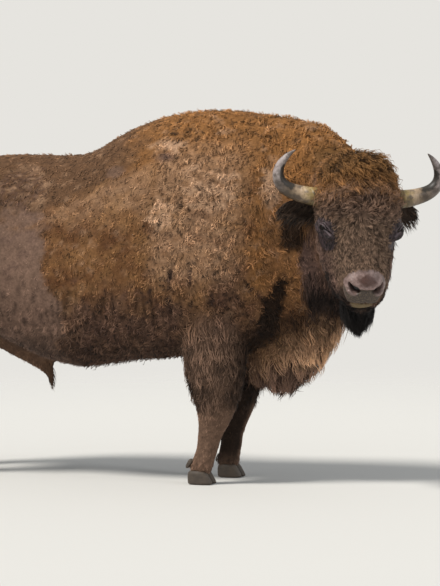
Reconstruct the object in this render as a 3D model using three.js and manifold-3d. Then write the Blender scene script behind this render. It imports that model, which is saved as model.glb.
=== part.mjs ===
// A European bison bull, life size, standing with its head turned to its right.
//
// Millimetres, +Z up. The animal faces +X and its left side is +Y. Every solid reaches to the tips of
// the coat. While the parts are made, x = 0 is over the fore hooves and y = 0 is the plane of symmetry
// of the trunk. At the end the whole group is moved, so that the origin is on the ground under the
// middle of its box.

import * as THREE from "three";
import { mergeVertices } from "three/addons/utils/BufferGeometryUtils.js";
import Module from "manifold-3d";

// Driving dimensions.
const WITHERS = 1757; // ground to the top of the hump, coat included
const BACK = 1550; // ground to the loin
const BELLY = 575; // ground to the breastbone
const CHEST = 372; // half the width of the rib cage
const RUMP = 1585; // from the fore hooves back to the buttocks
const FORE_TRACK = 168; // half the distance between the fore hooves
const HIND_TRACK = 178; // half the distance between the hind hooves
const HIND_HOOF = 1372; // from the fore hooves back to the middle of the hind ones
const HIND_STRIDE = 68; // how far each hind hoof is ahead of or behind that middle
const FORE_STRIDE = 16; // the same for the fore hooves
const SLIT = 0.4; // width of the thin cuts between neighbouring parts

// Where the head is, and how it is held. Its own axes are x from the poll to the nose, y to its left
// and z out of the forehead, and its origin is half way between the horns.
const HEAD_PLACE = new THREE.Vector3(740, -236, 1332);
const HEAD_PITCH = THREE.MathUtils.degToRad(68.4); // the face's slope below the horizontal
const HEAD_YAW = THREE.MathUtils.degToRad(-60); // turned to the animal's right
const HEAD_ROLL = THREE.MathUtils.degToRad(-1.5); // tipped towards its left
const EYE = { along: 155, out: 167, up: 42, radius: 22 };
const HORN_LEAN = 9; // the horns and ears stand this far to the left of the skull's middle
const HORN_BASE = 45; // radius of a horn where it leaves the coat

const wasm = await Module();
wasm.setup();

const COLOURS = {
  rust: [0x7a5a3a, 0.95],
  brown: [0x5b4636, 0.95],
  dark: [0x342a25, 0.95],
  nose: [0x6e5c56, 0.5],
  horn: [0x847b6e, 0.45],
  claw: [0x2b2724, 0.5],
  eye: [0x17100c, 0.08],
};

const wisent = new THREE.Group();

// ---------------------------------------------------------------------------------------------
// Tools

/** The geometry with positions only, and its equal vertices joined. */
function welded(geometry) {
  geometry.deleteAttribute("normal");
  geometry.deleteAttribute("uv");
  return mergeVertices(geometry, 1e-3);
}

/** A closed surface: a cylinder whose points place(share of length, angle, share of radius) moves. */
function warped(place, around, along) {
  const tube = welded(new THREE.CylinderGeometry(1, 1, 1, around, along));
  const position = tube.getAttribute("position");
  for (let i = 0; i < position.count; i++) {
    const [x, y, z] = [position.getX(i), position.getY(i), position.getZ(i)];
    const p = place(y + 0.5, Math.atan2(-z, x), Math.min(1, Math.hypot(x, z)));
    position.setXYZ(i, p.x, p.y, p.z);
  }
  return tube;
}

/** A smooth function through a list of stations, objects with the same keys, at 0, 1, 2 and so on. */
function through(stations) {
  const keys = Object.keys(stations[0]);
  const spline = new THREE.CubicInterpolant(
    stations.map((_, i) => i),
    stations.flatMap((station) => keys.map((key) => station[key])),
    keys.length,
  );
  return (at) => {
    const values = spline.evaluate(at);
    return Object.fromEntries(keys.map((key, i) => [key, values[i]]));
  };
}

/** A point of a rounded outline with its reach towards +p, -p, +q and -q; peak and keel are how square it is. */
function outline(angle, share, [right, left, up, down], peak, keel) {
  const [c, s] = [Math.cos(angle), Math.sin(angle)];
  const power = 2 / (s > 0 ? peak : keel);
  return [
    share * Math.sign(c) * Math.abs(c) ** power * (c > 0 ? right : left),
    share * Math.sign(s) * Math.abs(s) ** power * (s > 0 ? up : down),
  ];
}

/** A round swelling of a surface: lift millimetres at its middle, fading over reach. */
const swelling = (x, y, z, reach, lift) => ({ at: new THREE.Vector3(x, y, z), reach, lift });

/** Both of a pair of swellings, one on each side. */
const pairOf = (x, y, z, reach, lift) => [swelling(x, y, z, reach, lift), swelling(x, -y, z, reach, lift)];

/**
 * A body along a list of stations, from one station to another. frame(station) gives the origin, the
 * two axes of the section and the way ahead, and reaches(station) the section's four reaches.
 */
function loft(stations, frame, reaches, options) {
  const { from = 0, to = stations.length - 1, around, rows, grow = 0, swells = [] } = options;
  const station = through(stations);
  const steps = Math.round((to - from) * rows);
  const place = (share, angle, radius) => {
    const now = station(from + share * (to - from));
    const { origin, p, q, ahead } = frame(now);
    const reach = reaches(now).map((r) => r + grow);
    const [along, across] = outline(angle, radius, reach, now.peak, now.keel);
    const point = origin.clone().addScaledVector(p, along).addScaledVector(q, across);
    const away = point.clone().sub(origin).normalize();
    for (const { at, reach: fade, lift } of swells)
      point.addScaledVector(away, radius * lift * Math.exp(-point.distanceToSquared(at) / fade ** 2));
    const trim = share < 1e-6 ? SLIT / 2 : share > 1 - 1e-6 ? -SLIT / 2 : 0;
    return point.addScaledVector(ahead, grow ? 0 : trim);
  };
  return warped(place, around, steps);
}

/** A tapering tube along a curve, with its radius given by a function of the share of its length. */
function tapered(curve, radius, around, along, grow = 0) {
  const { normals, binormals } = curve.computeFrenetFrames(along);
  return warped(
    (share, angle, part) => {
      const at = Math.round(share * along);
      const r = part * (radius(share) + grow);
      return curve
        .getPointAt(share)
        .addScaledVector(normals[at], r * Math.cos(angle))
        .addScaledVector(binormals[at], r * Math.sin(angle));
    },
    around,
    along,
  );
}

/** An ellipsoid. */
const ellipsoid = (x, y, z, a, b, c, around = 16, rows = 10) =>
  welded(new THREE.SphereGeometry(1, around, rows)).scale(a, b, c).translate(x, y, z);

/** A geometry as a solid to join and cut. */
function solid(geometry) {
  return new wasm.Manifold(
    new wasm.Mesh({
      numProp: 3,
      vertProperties: new Float32Array(geometry.getAttribute("position").array),
      triVerts: new Uint32Array(geometry.index.array),
    }),
  );
}

/** The largest body of a solid, as a geometry. */
function geometryOf(manifold) {
  const whole = manifold.decompose().reduce((a, b) => (a.volume() > b.volume() ? a : b));
  const mesh = whole.getMesh();
  return new THREE.BufferGeometry()
    .setAttribute("position", new THREE.BufferAttribute(mesh.vertProperties, 3))
    .setIndex(new THREE.BufferAttribute(mesh.triVerts, 1));
}

/** Adds a named part to a group. */
function part(name, geometry, colour, group = wisent) {
  const [color, roughness] = COLOURS[colour];
  const shape = geometry.toNonIndexed();
  shape.computeVertexNormals();
  const mesh = new THREE.Mesh(shape, new THREE.MeshStandardMaterial({ color, roughness, metalness: 0 }));
  mesh.name = name;
  group.add(mesh);
  return mesh;
}

// ---------------------------------------------------------------------------------------------
// Trunk and neck: upright sections along a spine that bends to the right in the neck

const TORSO = [
  { x: -RUMP, y: 0, turn: 0, top: 1300, waist: 1160, bottom: 1020, half: 70, peak: 2, keel: 2 },
  { x: -1552, y: 0, turn: 0, top: 1392, waist: 1150, bottom: 880, half: 185, peak: 2.1, keel: 2 },
  { x: -1455, y: 0, turn: 0, top: 1458, waist: 1140, bottom: 775, half: 262, peak: 2.1, keel: 2 },
  { x: -1290, y: 0, turn: 0, top: 1515, waist: 1130, bottom: 700, half: 312, peak: 2.1, keel: 2.1 },
  { x: -1090, y: 0, turn: 0, top: BACK, waist: 1110, bottom: 650, half: 330, peak: 2.1, keel: 2.2 },
  { x: -900, y: 0, turn: 0, top: BACK + 2, waist: 1040, bottom: 565, half: 345, peak: 2, keel: 2.2 },
  { x: -710, y: 0, turn: 0, top: BACK, waist: 1000, bottom: 522, half: 360, peak: 1.95, keel: 2.2 },
  { x: -600, y: 0, turn: 0, top: 1580, waist: 985, bottom: 538, half: 368, peak: 1.9, keel: 2.2 },
  { x: -470, y: 0, turn: 0, top: 1657, waist: 975, bottom: 558, half: CHEST, peak: 1.9, keel: 2.2 },
  { x: -290, y: 0, turn: 0, top: 1724, waist: 975, bottom: BELLY, half: CHEST, peak: 1.92, keel: 2.1 },
  { x: -110, y: 0, turn: 0, top: WITHERS - 3, waist: 990, bottom: BELLY + 5, half: 362, peak: 1.95, keel: 2 },
  { x: 60, y: 0, turn: 0, top: WITHERS, waist: 1010, bottom: BELLY, half: 345, peak: 1.95, keel: 1.9 },
  { x: 240, y: 0, turn: 0, top: 1738, waist: 1050, bottom: 590, half: 308, peak: 1.95, keel: 1.9 },
  { x: 400, y: -20, turn: -12, top: 1712, waist: 1100, bottom: 640, half: 260, peak: 1.95, keel: 1.9 },
  { x: 540, y: -62, turn: -26, top: 1680, waist: 1150, bottom: 730, half: 224, peak: 1.95, keel: 1.9 },
  { x: 650, y: -125, turn: -40, top: 1572, waist: 1190, bottom: 840, half: 204, peak: 2, keel: 2 },
  { x: 725, y: -190, turn: -50, top: 1490, waist: 1210, bottom: 940, half: 182, peak: 2, keel: 2 },
];
const CUTS = { loin: 4.5, ribs: 9.4, neck: 12.6 }; // stations at which the torso is parted

const torsoFrame = ({ x, y, turn, waist }) => {
  const angle = THREE.MathUtils.degToRad(turn);
  return {
    origin: new THREE.Vector3(x, y, waist),
    p: new THREE.Vector3(-Math.sin(angle), Math.cos(angle), 0),
    q: new THREE.Vector3(0, 0, 1),
    ahead: new THREE.Vector3(Math.cos(angle), Math.sin(angle), 0),
  };
};
const torsoReaches = ({ top, waist, bottom, half }) => [half, half, top - waist, waist - bottom];

const MUSCLES = [
  ...pairOf(-1050, 300, 1440, 110, 42), // point of the hip
  ...pairOf(-1360, 280, 1120, 260, 32), // thigh
  ...pairOf(-950, 330, 1230, 170, -30), // hollow of the flank
  ...pairOf(60, 320, 880, 220, 30), // shoulder and upper arm
  ...pairOf(-60, 250, 1380, 230, 22), // shoulder blade
  ...pairOf(-640, 340, 760, 260, 14), // paunch
];

const torso = (from, to, grow = 0) =>
  loft(TORSO, torsoFrame, torsoReaches, { from, to, around: 26, rows: 1.8, grow, swells: MUSCLES });

const SPANS = {
  hindquarters: [0, CUTS.loin],
  barrel: [CUTS.loin, CUTS.ribs],
  forequarters: [CUTS.ribs, CUTS.neck],
  neck: [CUTS.neck, TORSO.length - 1],
};
const grown = Object.values(SPANS).map(([from, to]) => solid(torso(from, to, SLIT)));
const wholeTorso = grown.reduce((a, b) => a.add(b));

part("hindquarters", torso(...SPANS.hindquarters), "brown");
part("barrel", torso(...SPANS.barrel), "rust");
part("forequarters", torso(...SPANS.forequarters), "rust");

// ---------------------------------------------------------------------------------------------
// Legs: level sections up from the pastern

const legFrame = ({ x, y, z }) => ({
  origin: new THREE.Vector3(x, y, z),
  p: new THREE.Vector3(1, 0, 0),
  q: new THREE.Vector3(0, 1, 0),
  ahead: new THREE.Vector3(0, 0, 1),
});
const legReaches = ({ fore, back, side }) => [fore, back, side, side];

const FORELEG = [
  { z: 66, x: -22, y: 0, fore: 50, back: 54, side: 53, peak: 2.2, keel: 2.2 },
  { z: 108, x: -8, y: 0, fore: 54, back: 60, side: 55, peak: 2.2, keel: 2.2 },
  { z: 160, x: 8, y: 0, fore: 56, back: 56, side: 48, peak: 2, keel: 2 },
  { z: 220, x: 20, y: 0, fore: 62, back: 62, side: 50, peak: 2, keel: 2 },
  { z: 285, x: 40, y: 2, fore: 78, back: 78, side: 62, peak: 2, keel: 2 },
  { z: 350, x: 54, y: 4, fore: 98, back: 102, side: 75, peak: 2, keel: 2 },
  { z: 430, x: 52, y: 8, fore: 130, back: 132, side: 90, peak: 2, keel: 2 },
  { z: 540, x: 50, y: 14, fore: 155, back: 155, side: 104, peak: 2, keel: 2 },
  { z: 670, x: 40, y: 22, fore: 166, back: 168, side: 118, peak: 2, keel: 2 },
  { z: 800, x: 32, y: 40, fore: 172, back: 180, side: 124, peak: 2, keel: 2 },
  { z: 960, x: 20, y: 50, fore: 160, back: 170, side: 100, peak: 2, keel: 2 },
];
const HINDLEG = [
  { z: 66, x: 8, y: 0, fore: 50, back: 52, side: 51, peak: 2.2, keel: 2.2 },
  { z: 108, x: -6, y: 0, fore: 52, back: 60, side: 52, peak: 2.2, keel: 2.2 },
  { z: 165, x: -24, y: 2, fore: 50, back: 52, side: 44, peak: 2, keel: 2 },
  { z: 240, x: -38, y: 4, fore: 52, back: 54, side: 43, peak: 2, keel: 2 },
  { z: 340, x: -58, y: 6, fore: 58, back: 60, side: 46, peak: 2, keel: 2 },
  { z: 430, x: -74, y: 10, fore: 70, back: 78, side: 56, peak: 2, keel: 2 },
  { z: 505, x: -84, y: 14, fore: 84, back: 106, side: 64, peak: 2, keel: 2 },
  { z: 580, x: -70, y: 18, fore: 96, back: 104, side: 68, peak: 2, keel: 2 },
  { z: 670, x: -22, y: 24, fore: 122, back: 122, side: 88, peak: 2, keel: 2 },
  { z: 780, x: 34, y: 32, fore: 175, back: 165, side: 120, peak: 2, keel: 2 },
  { z: 910, x: 78, y: 42, fore: 210, back: 220, side: 138, peak: 2, keel: 2 },
  { z: 1060, x: 84, y: 44, fore: 220, back: 240, side: 132, peak: 2, keel: 2 },
  { z: 1180, x: 70, y: 36, fore: 190, back: 220, side: 110, peak: 2, keel: 2 },
];
const HIP = 1050; // height at which a leg's stride has faded out

/** The four pieces of hoof and the two parts of one leg. */
function leg(name, stations, { side, hoof, track, stride, lean = 0, knee }) {
  const placed = stations.map((s) => ({
    ...s,
    x: hoof + s.x + stride * Math.max(0, 1 - s.z / HIP) - lean * Math.sin((Math.PI * s.z) / HIP),
    y: side * (track + s.y),
  }));
  const piece = (from, to, grow = 0) =>
    loft(placed, legFrame, legReaches, { from, to, around: 14, rows: 1.4, grow });
  part(`${name}_lower`, piece(0, knee), "dark");
  const upper = solid(piece(knee, stations.length - 1)).subtract(wholeTorso);
  part(`${name}_upper`, geometryOf(upper), "brown");

  const pastern = solid(piece(0, knee, SLIT));
  const under = [hoof + stations[0].x + stride, side * track, 0];
  for (const [which, turn] of [["inner", -side], ["outer", side]]) {
    part(`${name}_hoof_${which}`, claw(turn).translate(...under), "claw");
    const spur = solid(dewclaw(turn).translate(...under)).subtract(pastern);
    part(`${name}_dewclaw_${which}`, geometryOf(spur), "claw");
  }
  return upper;
}

const CLAW = [
  { z: 0, x: 8, fore: 62, back: 62, side: 26, peak: 2.6, keel: 2.6 },
  { z: 12, x: 8, fore: 61, back: 63, side: 27, peak: 2.6, keel: 2.6 },
  { z: 40, x: 0, fore: 52, back: 57, side: 26, peak: 2.5, keel: 2.5 },
  { z: 66, x: -5, fore: 42, back: 48, side: 24, peak: 2.4, keel: 2.4 },
];
const CLEFT = 29; // half the distance between the middles of the two claws

/** One of the two claws of a hoof, turn being -1 for the one on the animal's right. */
const claw = (turn) =>
  loft(
    CLAW.map((s) => ({ ...s, y: turn * CLEFT })),
    legFrame,
    legReaches,
    { around: 11, rows: 1 },
  ).translate(0, 0, -SLIT / 2);

/** A dewclaw behind the pastern. */
const dewclaw = (turn) =>
  tapered(
    new THREE.LineCurve3(new THREE.Vector3(-34, turn * 24, 116), new THREE.Vector3(-62, turn * 27, 76)),
    (share) => 18 - 8 * share,
    6,
    1,
  );

const LEGS = {
  foreleg_right: [FORELEG, { side: -1, hoof: 0, track: FORE_TRACK, stride: -FORE_STRIDE, knee: 5 }],
  foreleg_left: [FORELEG, { side: 1, hoof: 0, track: FORE_TRACK, stride: FORE_STRIDE, lean: 46, knee: 5 }],
  hindleg_right: [HINDLEG, { side: -1, hoof: -HIND_HOOF, track: HIND_TRACK, stride: HIND_STRIDE, knee: 6 }],
  hindleg_left: [HINDLEG, { side: 1, hoof: -HIND_HOOF, track: HIND_TRACK, stride: -HIND_STRIDE, knee: 6 }],
};
const upperLegs = Object.entries(LEGS).map(([name, [stations, options]]) => leg(name, stations, options));

// ---------------------------------------------------------------------------------------------
// Head

const head = new THREE.Group();
head.position.copy(HEAD_PLACE);
head.rotation.set(HEAD_ROLL, HEAD_PITCH, HEAD_YAW, "ZXY");
head.updateMatrix();
wisent.add(head);
const toHead = head.matrix.clone().invert();

const SKULL = [
  { x: -205, top: 92, waist: 30, bottom: -40, half: 66, peak: 2, keel: 2 },
  { x: -180, top: 128, waist: 10, bottom: -105, half: 142, peak: 2.1, keel: 2 },
  { x: -120, top: 148, waist: -5, bottom: -150, half: 182, peak: 2.2, keel: 2 },
  { x: -50, top: 150, waist: -8, bottom: -174, half: 192, peak: 2.3, keel: 2 },
  { x: 25, top: 142, waist: -8, bottom: -196, half: 196, peak: 2.3, keel: 2 },
  { x: 95, top: 128, waist: -18, bottom: -214, half: 194, peak: 2.3, keel: 2 },
  { x: 160, top: 112, waist: -45, bottom: -226, half: 188, peak: 2.3, keel: 2 },
  { x: 230, top: 100, waist: -78, bottom: -222, half: 173, peak: 2.1, keel: 2 },
  { x: 300, top: 92, waist: -86, bottom: -204, half: 156, peak: 2, keel: 2 },
  { x: 370, top: 84, waist: -76, bottom: -172, half: 133, peak: 2, keel: 2.1 },
  { x: 430, top: 72, waist: -45, bottom: -134, half: 110, peak: 2.2, keel: 2.3 },
  { x: 480, top: 38, waist: -25, bottom: -104, half: 88, peak: 2.4, keel: 2.4 },
  { x: 506, top: -8, waist: -42, bottom: -86, half: 60, peak: 2.2, keel: 2.2 },
];
const skullFrame = ({ x, waist }) => ({
  origin: new THREE.Vector3(x, 0, waist),
  p: new THREE.Vector3(0, 1, 0),
  q: new THREE.Vector3(0, 0, 1),
  ahead: new THREE.Vector3(1, 0, 0),
});
const FEATURES = [
  ...pairOf(125, 165, 66, 48, 8), // brow
  ...pairOf(235, 140, 20, 60, -14), // hollow below the eye
  ...pairOf(435, 90, 10, 45, 6), // wing of the nostril
];
const skull = (grow = 0) =>
  loft(SKULL, skullFrame, torsoReaches, { around: 22, rows: 1.4, grow, swells: FEATURES });

const wholeHead = solid(skull());
const grownHead = solid(skull(SLIT).applyMatrix4(head.matrix));
part("neck", geometryOf(solid(torso(...SPANS.neck)).subtract(grownHead)), "rust");

// The mouth parts the lower jaw from the face.
const box = (x, y, z, a, b, c) => welded(new THREE.BoxGeometry(a, b, c)).translate(x, y, z);
const MOUTH = { back: 330, height: -112, slope: THREE.MathUtils.degToRad(-12) };
const jawRoom = (gap) =>
  solid(
    box(250 + MOUTH.back - gap, 0, -200 + gap, 500, 600, 400)
      .rotateY(MOUTH.slope)
      .translate(0, 0, MOUTH.height),
  );
const eyeball = (side, grow = 0) =>
  ellipsoid(EYE.along, side * EYE.out, EYE.up, ...Array(3).fill(EYE.radius + grow), 10, 7);
const padRoom = (grow) => solid(ellipsoid(412, 0, 60, 46 + grow, 108 + grow, 90 + grow, 14, 8));
const nostril = (side) =>
  solid(
    ellipsoid(0, 0, 0, 36, 11, 24, 8, 6)
      .rotateZ(-side * 0.8)
      .translate(443, side * 57, 45),
  );

let face = wholeHead.subtract(jawRoom(SLIT));
const jaw = wholeHead.intersect(jawRoom(0));
const pad = face.intersect(padRoom(0)).subtract(nostril(-1)).subtract(nostril(1));
face = face.subtract(padRoom(SLIT));
for (const side of [-1, 1]) face = face.subtract(solid(eyeball(side, SLIT)));

part("head", geometryOf(face), "dark", head);
part("lower_jaw", geometryOf(jaw), "dark", head);
part("nose_pad", geometryOf(pad), "nose", head);

// A horn leaves the side of the head, bends forward and up, and its tip leans in.
const HORN = [
  { x: -2, y: 150, z: 10, radius: HORN_BASE },
  { x: -2, y: 208, z: 8, radius: HORN_BASE },
  { x: -17, y: 255, z: -6, radius: 43 },
  { x: -32, y: 299, z: -13, radius: 40 },
  { x: -52, y: 344, z: -10, radius: 37 },
  { x: -84, y: 374, z: 9, radius: 33 },
  { x: -120, y: 377, z: 31, radius: 28 },
  { x: -154, y: 359, z: 55, radius: 22 },
  { x: -178, y: 333, z: 80, radius: 14 },
  { x: -190, y: 308, z: 101, radius: 3 },
];
const hornRadius = through(HORN);
const horn = (side, grow = 0) =>
  tapered(
    new THREE.CatmullRomCurve3(HORN.map(({ x, y, z }) => new THREE.Vector3(x, side * y + HORN_LEAN, z))),
    (share) => hornRadius(share * (HORN.length - 1)).radius,
    9,
    12,
    grow,
  );

// An ear: its base and its tip, and what the hair adds below it.
const EARS = {
  right: { side: -1, base: [55, -150, -36], tip: [24, -366, -112] },
  left: { side: 1, base: [55, 150, -30], tip: [-8, 318, -180] },
};
const EAR = [
  { at: 0, up: 24, down: 32, thick: 20, peak: 2, keel: 2 },
  { at: 0.3, up: 38, down: 62, thick: 26, peak: 2, keel: 2 },
  { at: 0.55, up: 45, down: 92, thick: 23, peak: 2, keel: 2 },
  { at: 0.78, up: 40, down: 88, thick: 18, peak: 2, keel: 2 },
  { at: 0.94, up: 28, down: 58, thick: 12, peak: 2, keel: 2 },
  { at: 1, up: 10, down: 22, thick: 6, peak: 2, keel: 2 },
];
const hanging = new THREE.Vector3(0, 0, 1).applyMatrix4(toHead.clone().setPosition(0, 0, 0));
function ear({ base, tip }) {
  const [from, to] = [base, tip].map(([x, y, z]) => new THREE.Vector3(x, y + HORN_LEAN, z));
  const ahead = to.clone().sub(from).normalize();
  const p = hanging.clone().addScaledVector(ahead, -hanging.dot(ahead)).normalize();
  const q = new THREE.Vector3().crossVectors(ahead, p);
  const frame = ({ at }) => ({ origin: from.clone().lerp(to, at), p, q, ahead });
  const reaches = ({ up, down, thick }) => [up, down, thick, thick];
  return loft(EAR, frame, reaches, { around: 10, rows: 1.6 });
}

const neckRoom = solid(torso(...SPANS.neck, SLIT).applyMatrix4(toHead));
for (const [name, { side, ...ends }] of Object.entries(EARS)) {
  const bare = solid(horn(side)).subtract(solid(skull(SLIT)));
  part(`horn_${name}`, geometryOf(bare), "horn", head);
  const leaf = solid(ear(ends)).subtract(solid(skull(SLIT))).subtract(solid(horn(side, 1)));
  part(`ear_${name}`, geometryOf(leaf.subtract(neckRoom)), "dark", head);
  part(`eye_${name}`, eyeball(side), "eye", head);
}

// ---------------------------------------------------------------------------------------------
// Beard, mane of the brisket, tail and sheath

const BEARD = [
  { z: 725, x: -6, fore: 14, back: 14, side: 10, peak: 2, keel: 2 },
  { z: 745, x: -4, fore: 42, back: 40, side: 32, peak: 2, keel: 2 },
  { z: 790, x: 0, fore: 78, back: 82, side: 62, peak: 2, keel: 2 },
  { z: 850, x: 0, fore: 104, back: 112, side: 76, peak: 2, keel: 2 },
  { z: 910, x: 0, fore: 100, back: 130, side: 76, peak: 2, keel: 2 },
  { z: 960, x: 0, fore: 70, back: 128, side: 60, peak: 2, keel: 2 },
];
const beardFrame = ({ x, z }) => {
  const p = new THREE.Vector3(Math.cos(HEAD_YAW), Math.sin(HEAD_YAW), 0);
  return {
    origin: new THREE.Vector3(742, -237, z).addScaledVector(p, x),
    p,
    q: new THREE.Vector3(-p.y, p.x, 0),
    ahead: new THREE.Vector3(0, 0, 1),
  };
};
const beard = solid(loft(BEARD, beardFrame, legReaches, { around: 12, rows: 1.2 }));
part("beard", geometryOf(beard.subtract(grownHead).subtract(wholeTorso)), "dark");

const MANE = [
  { x: 60, y: 0, turn: 0, top: 660, waist: 620, bottom: 560, half: 40, peak: 2, keel: 2 },
  { x: 110, y: 0, turn: 0, top: 700, waist: 640, bottom: 505, half: 66, peak: 2, keel: 1.8 },
  { x: 190, y: 0, turn: 0, top: 720, waist: 650, bottom: 462, half: 74, peak: 2, keel: 1.7 },
  { x: 285, y: 0, turn: -4, top: 760, waist: 680, bottom: 424, half: 120, peak: 2, keel: 1.6 },
  { x: 365, y: -12, turn: -9, top: 800, waist: 700, bottom: 436, half: 128, peak: 2, keel: 1.6 },
  { x: 440, y: -30, turn: -16, top: 850, waist: 740, bottom: 486, half: 122, peak: 2, keel: 1.6 },
  { x: 505, y: -52, turn: -23, top: 880, waist: 790, bottom: 556, half: 112, peak: 2, keel: 1.7 },
  { x: 562, y: -76, turn: -29, top: 910, waist: 830, bottom: 642, half: 98, peak: 2, keel: 1.8 },
  { x: 612, y: -104, turn: -36, top: 940, waist: 870, bottom: 730, half: 66, peak: 2, keel: 2 },
];
let mane = solid(loft(MANE, torsoFrame, torsoReaches, { around: 12, rows: 1.4 }));
for (const other of [wholeTorso, grownHead, ...upperLegs]) mane = mane.subtract(other);
part("brisket_mane", geometryOf(mane), "rust");

/** A solid swept along points (x, z) of the plane of symmetry, each with its radius. */
const swept = (points, around, along, grow = 0) => {
  const radius = through(points);
  return tapered(
    new THREE.CatmullRomCurve3(points.map(({ x, z }) => new THREE.Vector3(x, 0, z))),
    (share) => radius(share * (points.length - 1)).r,
    around,
    along,
    grow,
  );
};
const TAIL = [
  { x: -1500, z: 1400, r: 46 },
  { x: -1590, z: 1398, r: 42 },
  { x: -1645, z: 1300, r: 32 },
  { x: -1656, z: 1120, r: 27 },
  { x: -1648, z: 930, r: 25 },
];
const TUFT = [
  { x: -1648, z: 929.6, r: 25 },
  { x: -1646, z: 820, r: 44 },
  { x: -1640, z: 700, r: 40 },
  { x: -1634, z: 560, r: 6 },
];
part("tail", geometryOf(solid(swept(TAIL, 9, 9)).subtract(wholeTorso)), "brown");
part("tail_tuft", geometryOf(solid(swept(TUFT, 9, 6)).subtract(solid(swept(TAIL, 9, 9, SLIT)))), "dark");

const SHEATH = [
  { x: -1180, z: 690, r: 50 },
  { x: -1060, z: 622, r: 54 },
  { x: -950, z: 560, r: 50 },
  { x: -868, z: 500, r: 40 },
  { x: -862, z: 450, r: 32 },
  { x: -858, z: 412, r: 8 },
];
part("sheath", geometryOf(solid(swept(SHEATH, 10, 9)).subtract(wholeTorso)), "dark");
const purse = solid(ellipsoid(-1275, 0, 655, 58, 52, 95, 10, 7));
part("scrotum", geometryOf(purse.subtract(wholeTorso)), "dark");

wisent.updateMatrixWorld(true);
const middle = new THREE.Box3().setFromObject(wisent, true);
wisent.position.set(-(middle.min.x + middle.max.x) / 2, -(middle.min.y + middle.max.y) / 2, -middle.min.z);

export default wisent;
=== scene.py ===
import math

import bmesh
import bpy
import numpy as np
from mathutils import Matrix, Vector
from mathutils.bvhtree import BVHTree
from mathutils.kdtree import KDTree


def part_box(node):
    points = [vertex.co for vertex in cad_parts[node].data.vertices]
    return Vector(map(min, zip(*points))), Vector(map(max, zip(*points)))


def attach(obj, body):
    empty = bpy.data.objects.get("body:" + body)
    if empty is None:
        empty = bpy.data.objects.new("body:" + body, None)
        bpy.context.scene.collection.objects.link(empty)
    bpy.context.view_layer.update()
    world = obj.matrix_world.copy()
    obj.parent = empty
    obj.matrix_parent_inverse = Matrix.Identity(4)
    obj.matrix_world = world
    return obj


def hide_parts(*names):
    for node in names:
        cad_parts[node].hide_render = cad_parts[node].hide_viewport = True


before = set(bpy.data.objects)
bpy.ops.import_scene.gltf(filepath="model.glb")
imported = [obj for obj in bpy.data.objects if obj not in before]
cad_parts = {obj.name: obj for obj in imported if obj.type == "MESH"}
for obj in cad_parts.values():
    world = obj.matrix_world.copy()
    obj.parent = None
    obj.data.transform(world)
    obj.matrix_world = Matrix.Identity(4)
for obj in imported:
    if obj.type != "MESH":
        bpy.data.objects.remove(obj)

bl_info = {
    "name": "Wisent",
    "version": (1, 0, 0),
    "blender": (4, 5, 0),
    "location": "3D View > Sidebar > Wisent",
    "description": "A life-size wisent bull: skin, coat, horns, hooves and eyes round its solids",
    "category": "Object",
}

MM = 0.001
SEED = 1757

# ---------------------------------------------------------------- places

FORE_HOOVES = [f"foreleg_{side}_hoof_{claw}" for side in ("right", "left") for claw in ("inner", "outer")]
PASTERN_LEAN = 15.5 * MM  # the withers stand this far in front of the middle of the fore hooves


def middle_of(node, axis):
    low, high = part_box(node)
    return (low[axis] + high[axis]) / 2


# The ground under the withers, which every place below is measured from: x forward, y left, z up.
GROUND = Vector((
    sum(middle_of(hoof, 0) for hoof in FORE_HOOVES) / 4 + PASTERN_LEAN,
    (middle_of("foreleg_right_lower", 1) + middle_of("foreleg_left_lower", 1)) / 2,
    0,
))

# The head's own frame: a from poll to nose, l to its left, u out of the forehead, in millimetres.
HEAD_AT = Vector((740, -236, 1332)) * MM
HEAD_YAW, HEAD_ROLL, HEAD_PITCH = -60, -1.5, 68.4
HEAD_TURN = (
    Matrix.Rotation(math.radians(HEAD_YAW), 3, "Z")
    @ Matrix.Rotation(math.radians(HEAD_ROLL), 3, "X")
    @ Matrix.Rotation(math.radians(HEAD_PITCH), 3, "Y")
)
HEAD_AXES = np.array(HEAD_TURN)  # its columns are a, l and u

HORN_LEAN = 9.0  # the horns and ears stand this far to the left of the skull's middle
SIDES = {"right": -1, "left": 1}


def from_ground(points):
    """Row-frame points measured from the ground under the withers, in metres."""
    return points - np.array(GROUND)


def in_head(points):
    """Row-frame points in the head's frame, in millimetres."""
    return (points - np.array(GROUND + HEAD_AT)) @ HEAD_AXES / MM


def from_head(points):
    return points * MM @ HEAD_AXES.T + np.array(GROUND + HEAD_AT)


# ---------------------------------------------------------------- zones of the coat


def legs(part):
    return [f"{leg}_{side}_{part}" for leg in ("foreleg", "hindleg") for side in SIDES]


EARS = [f"ear_{side}" for side in SIDES]

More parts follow.
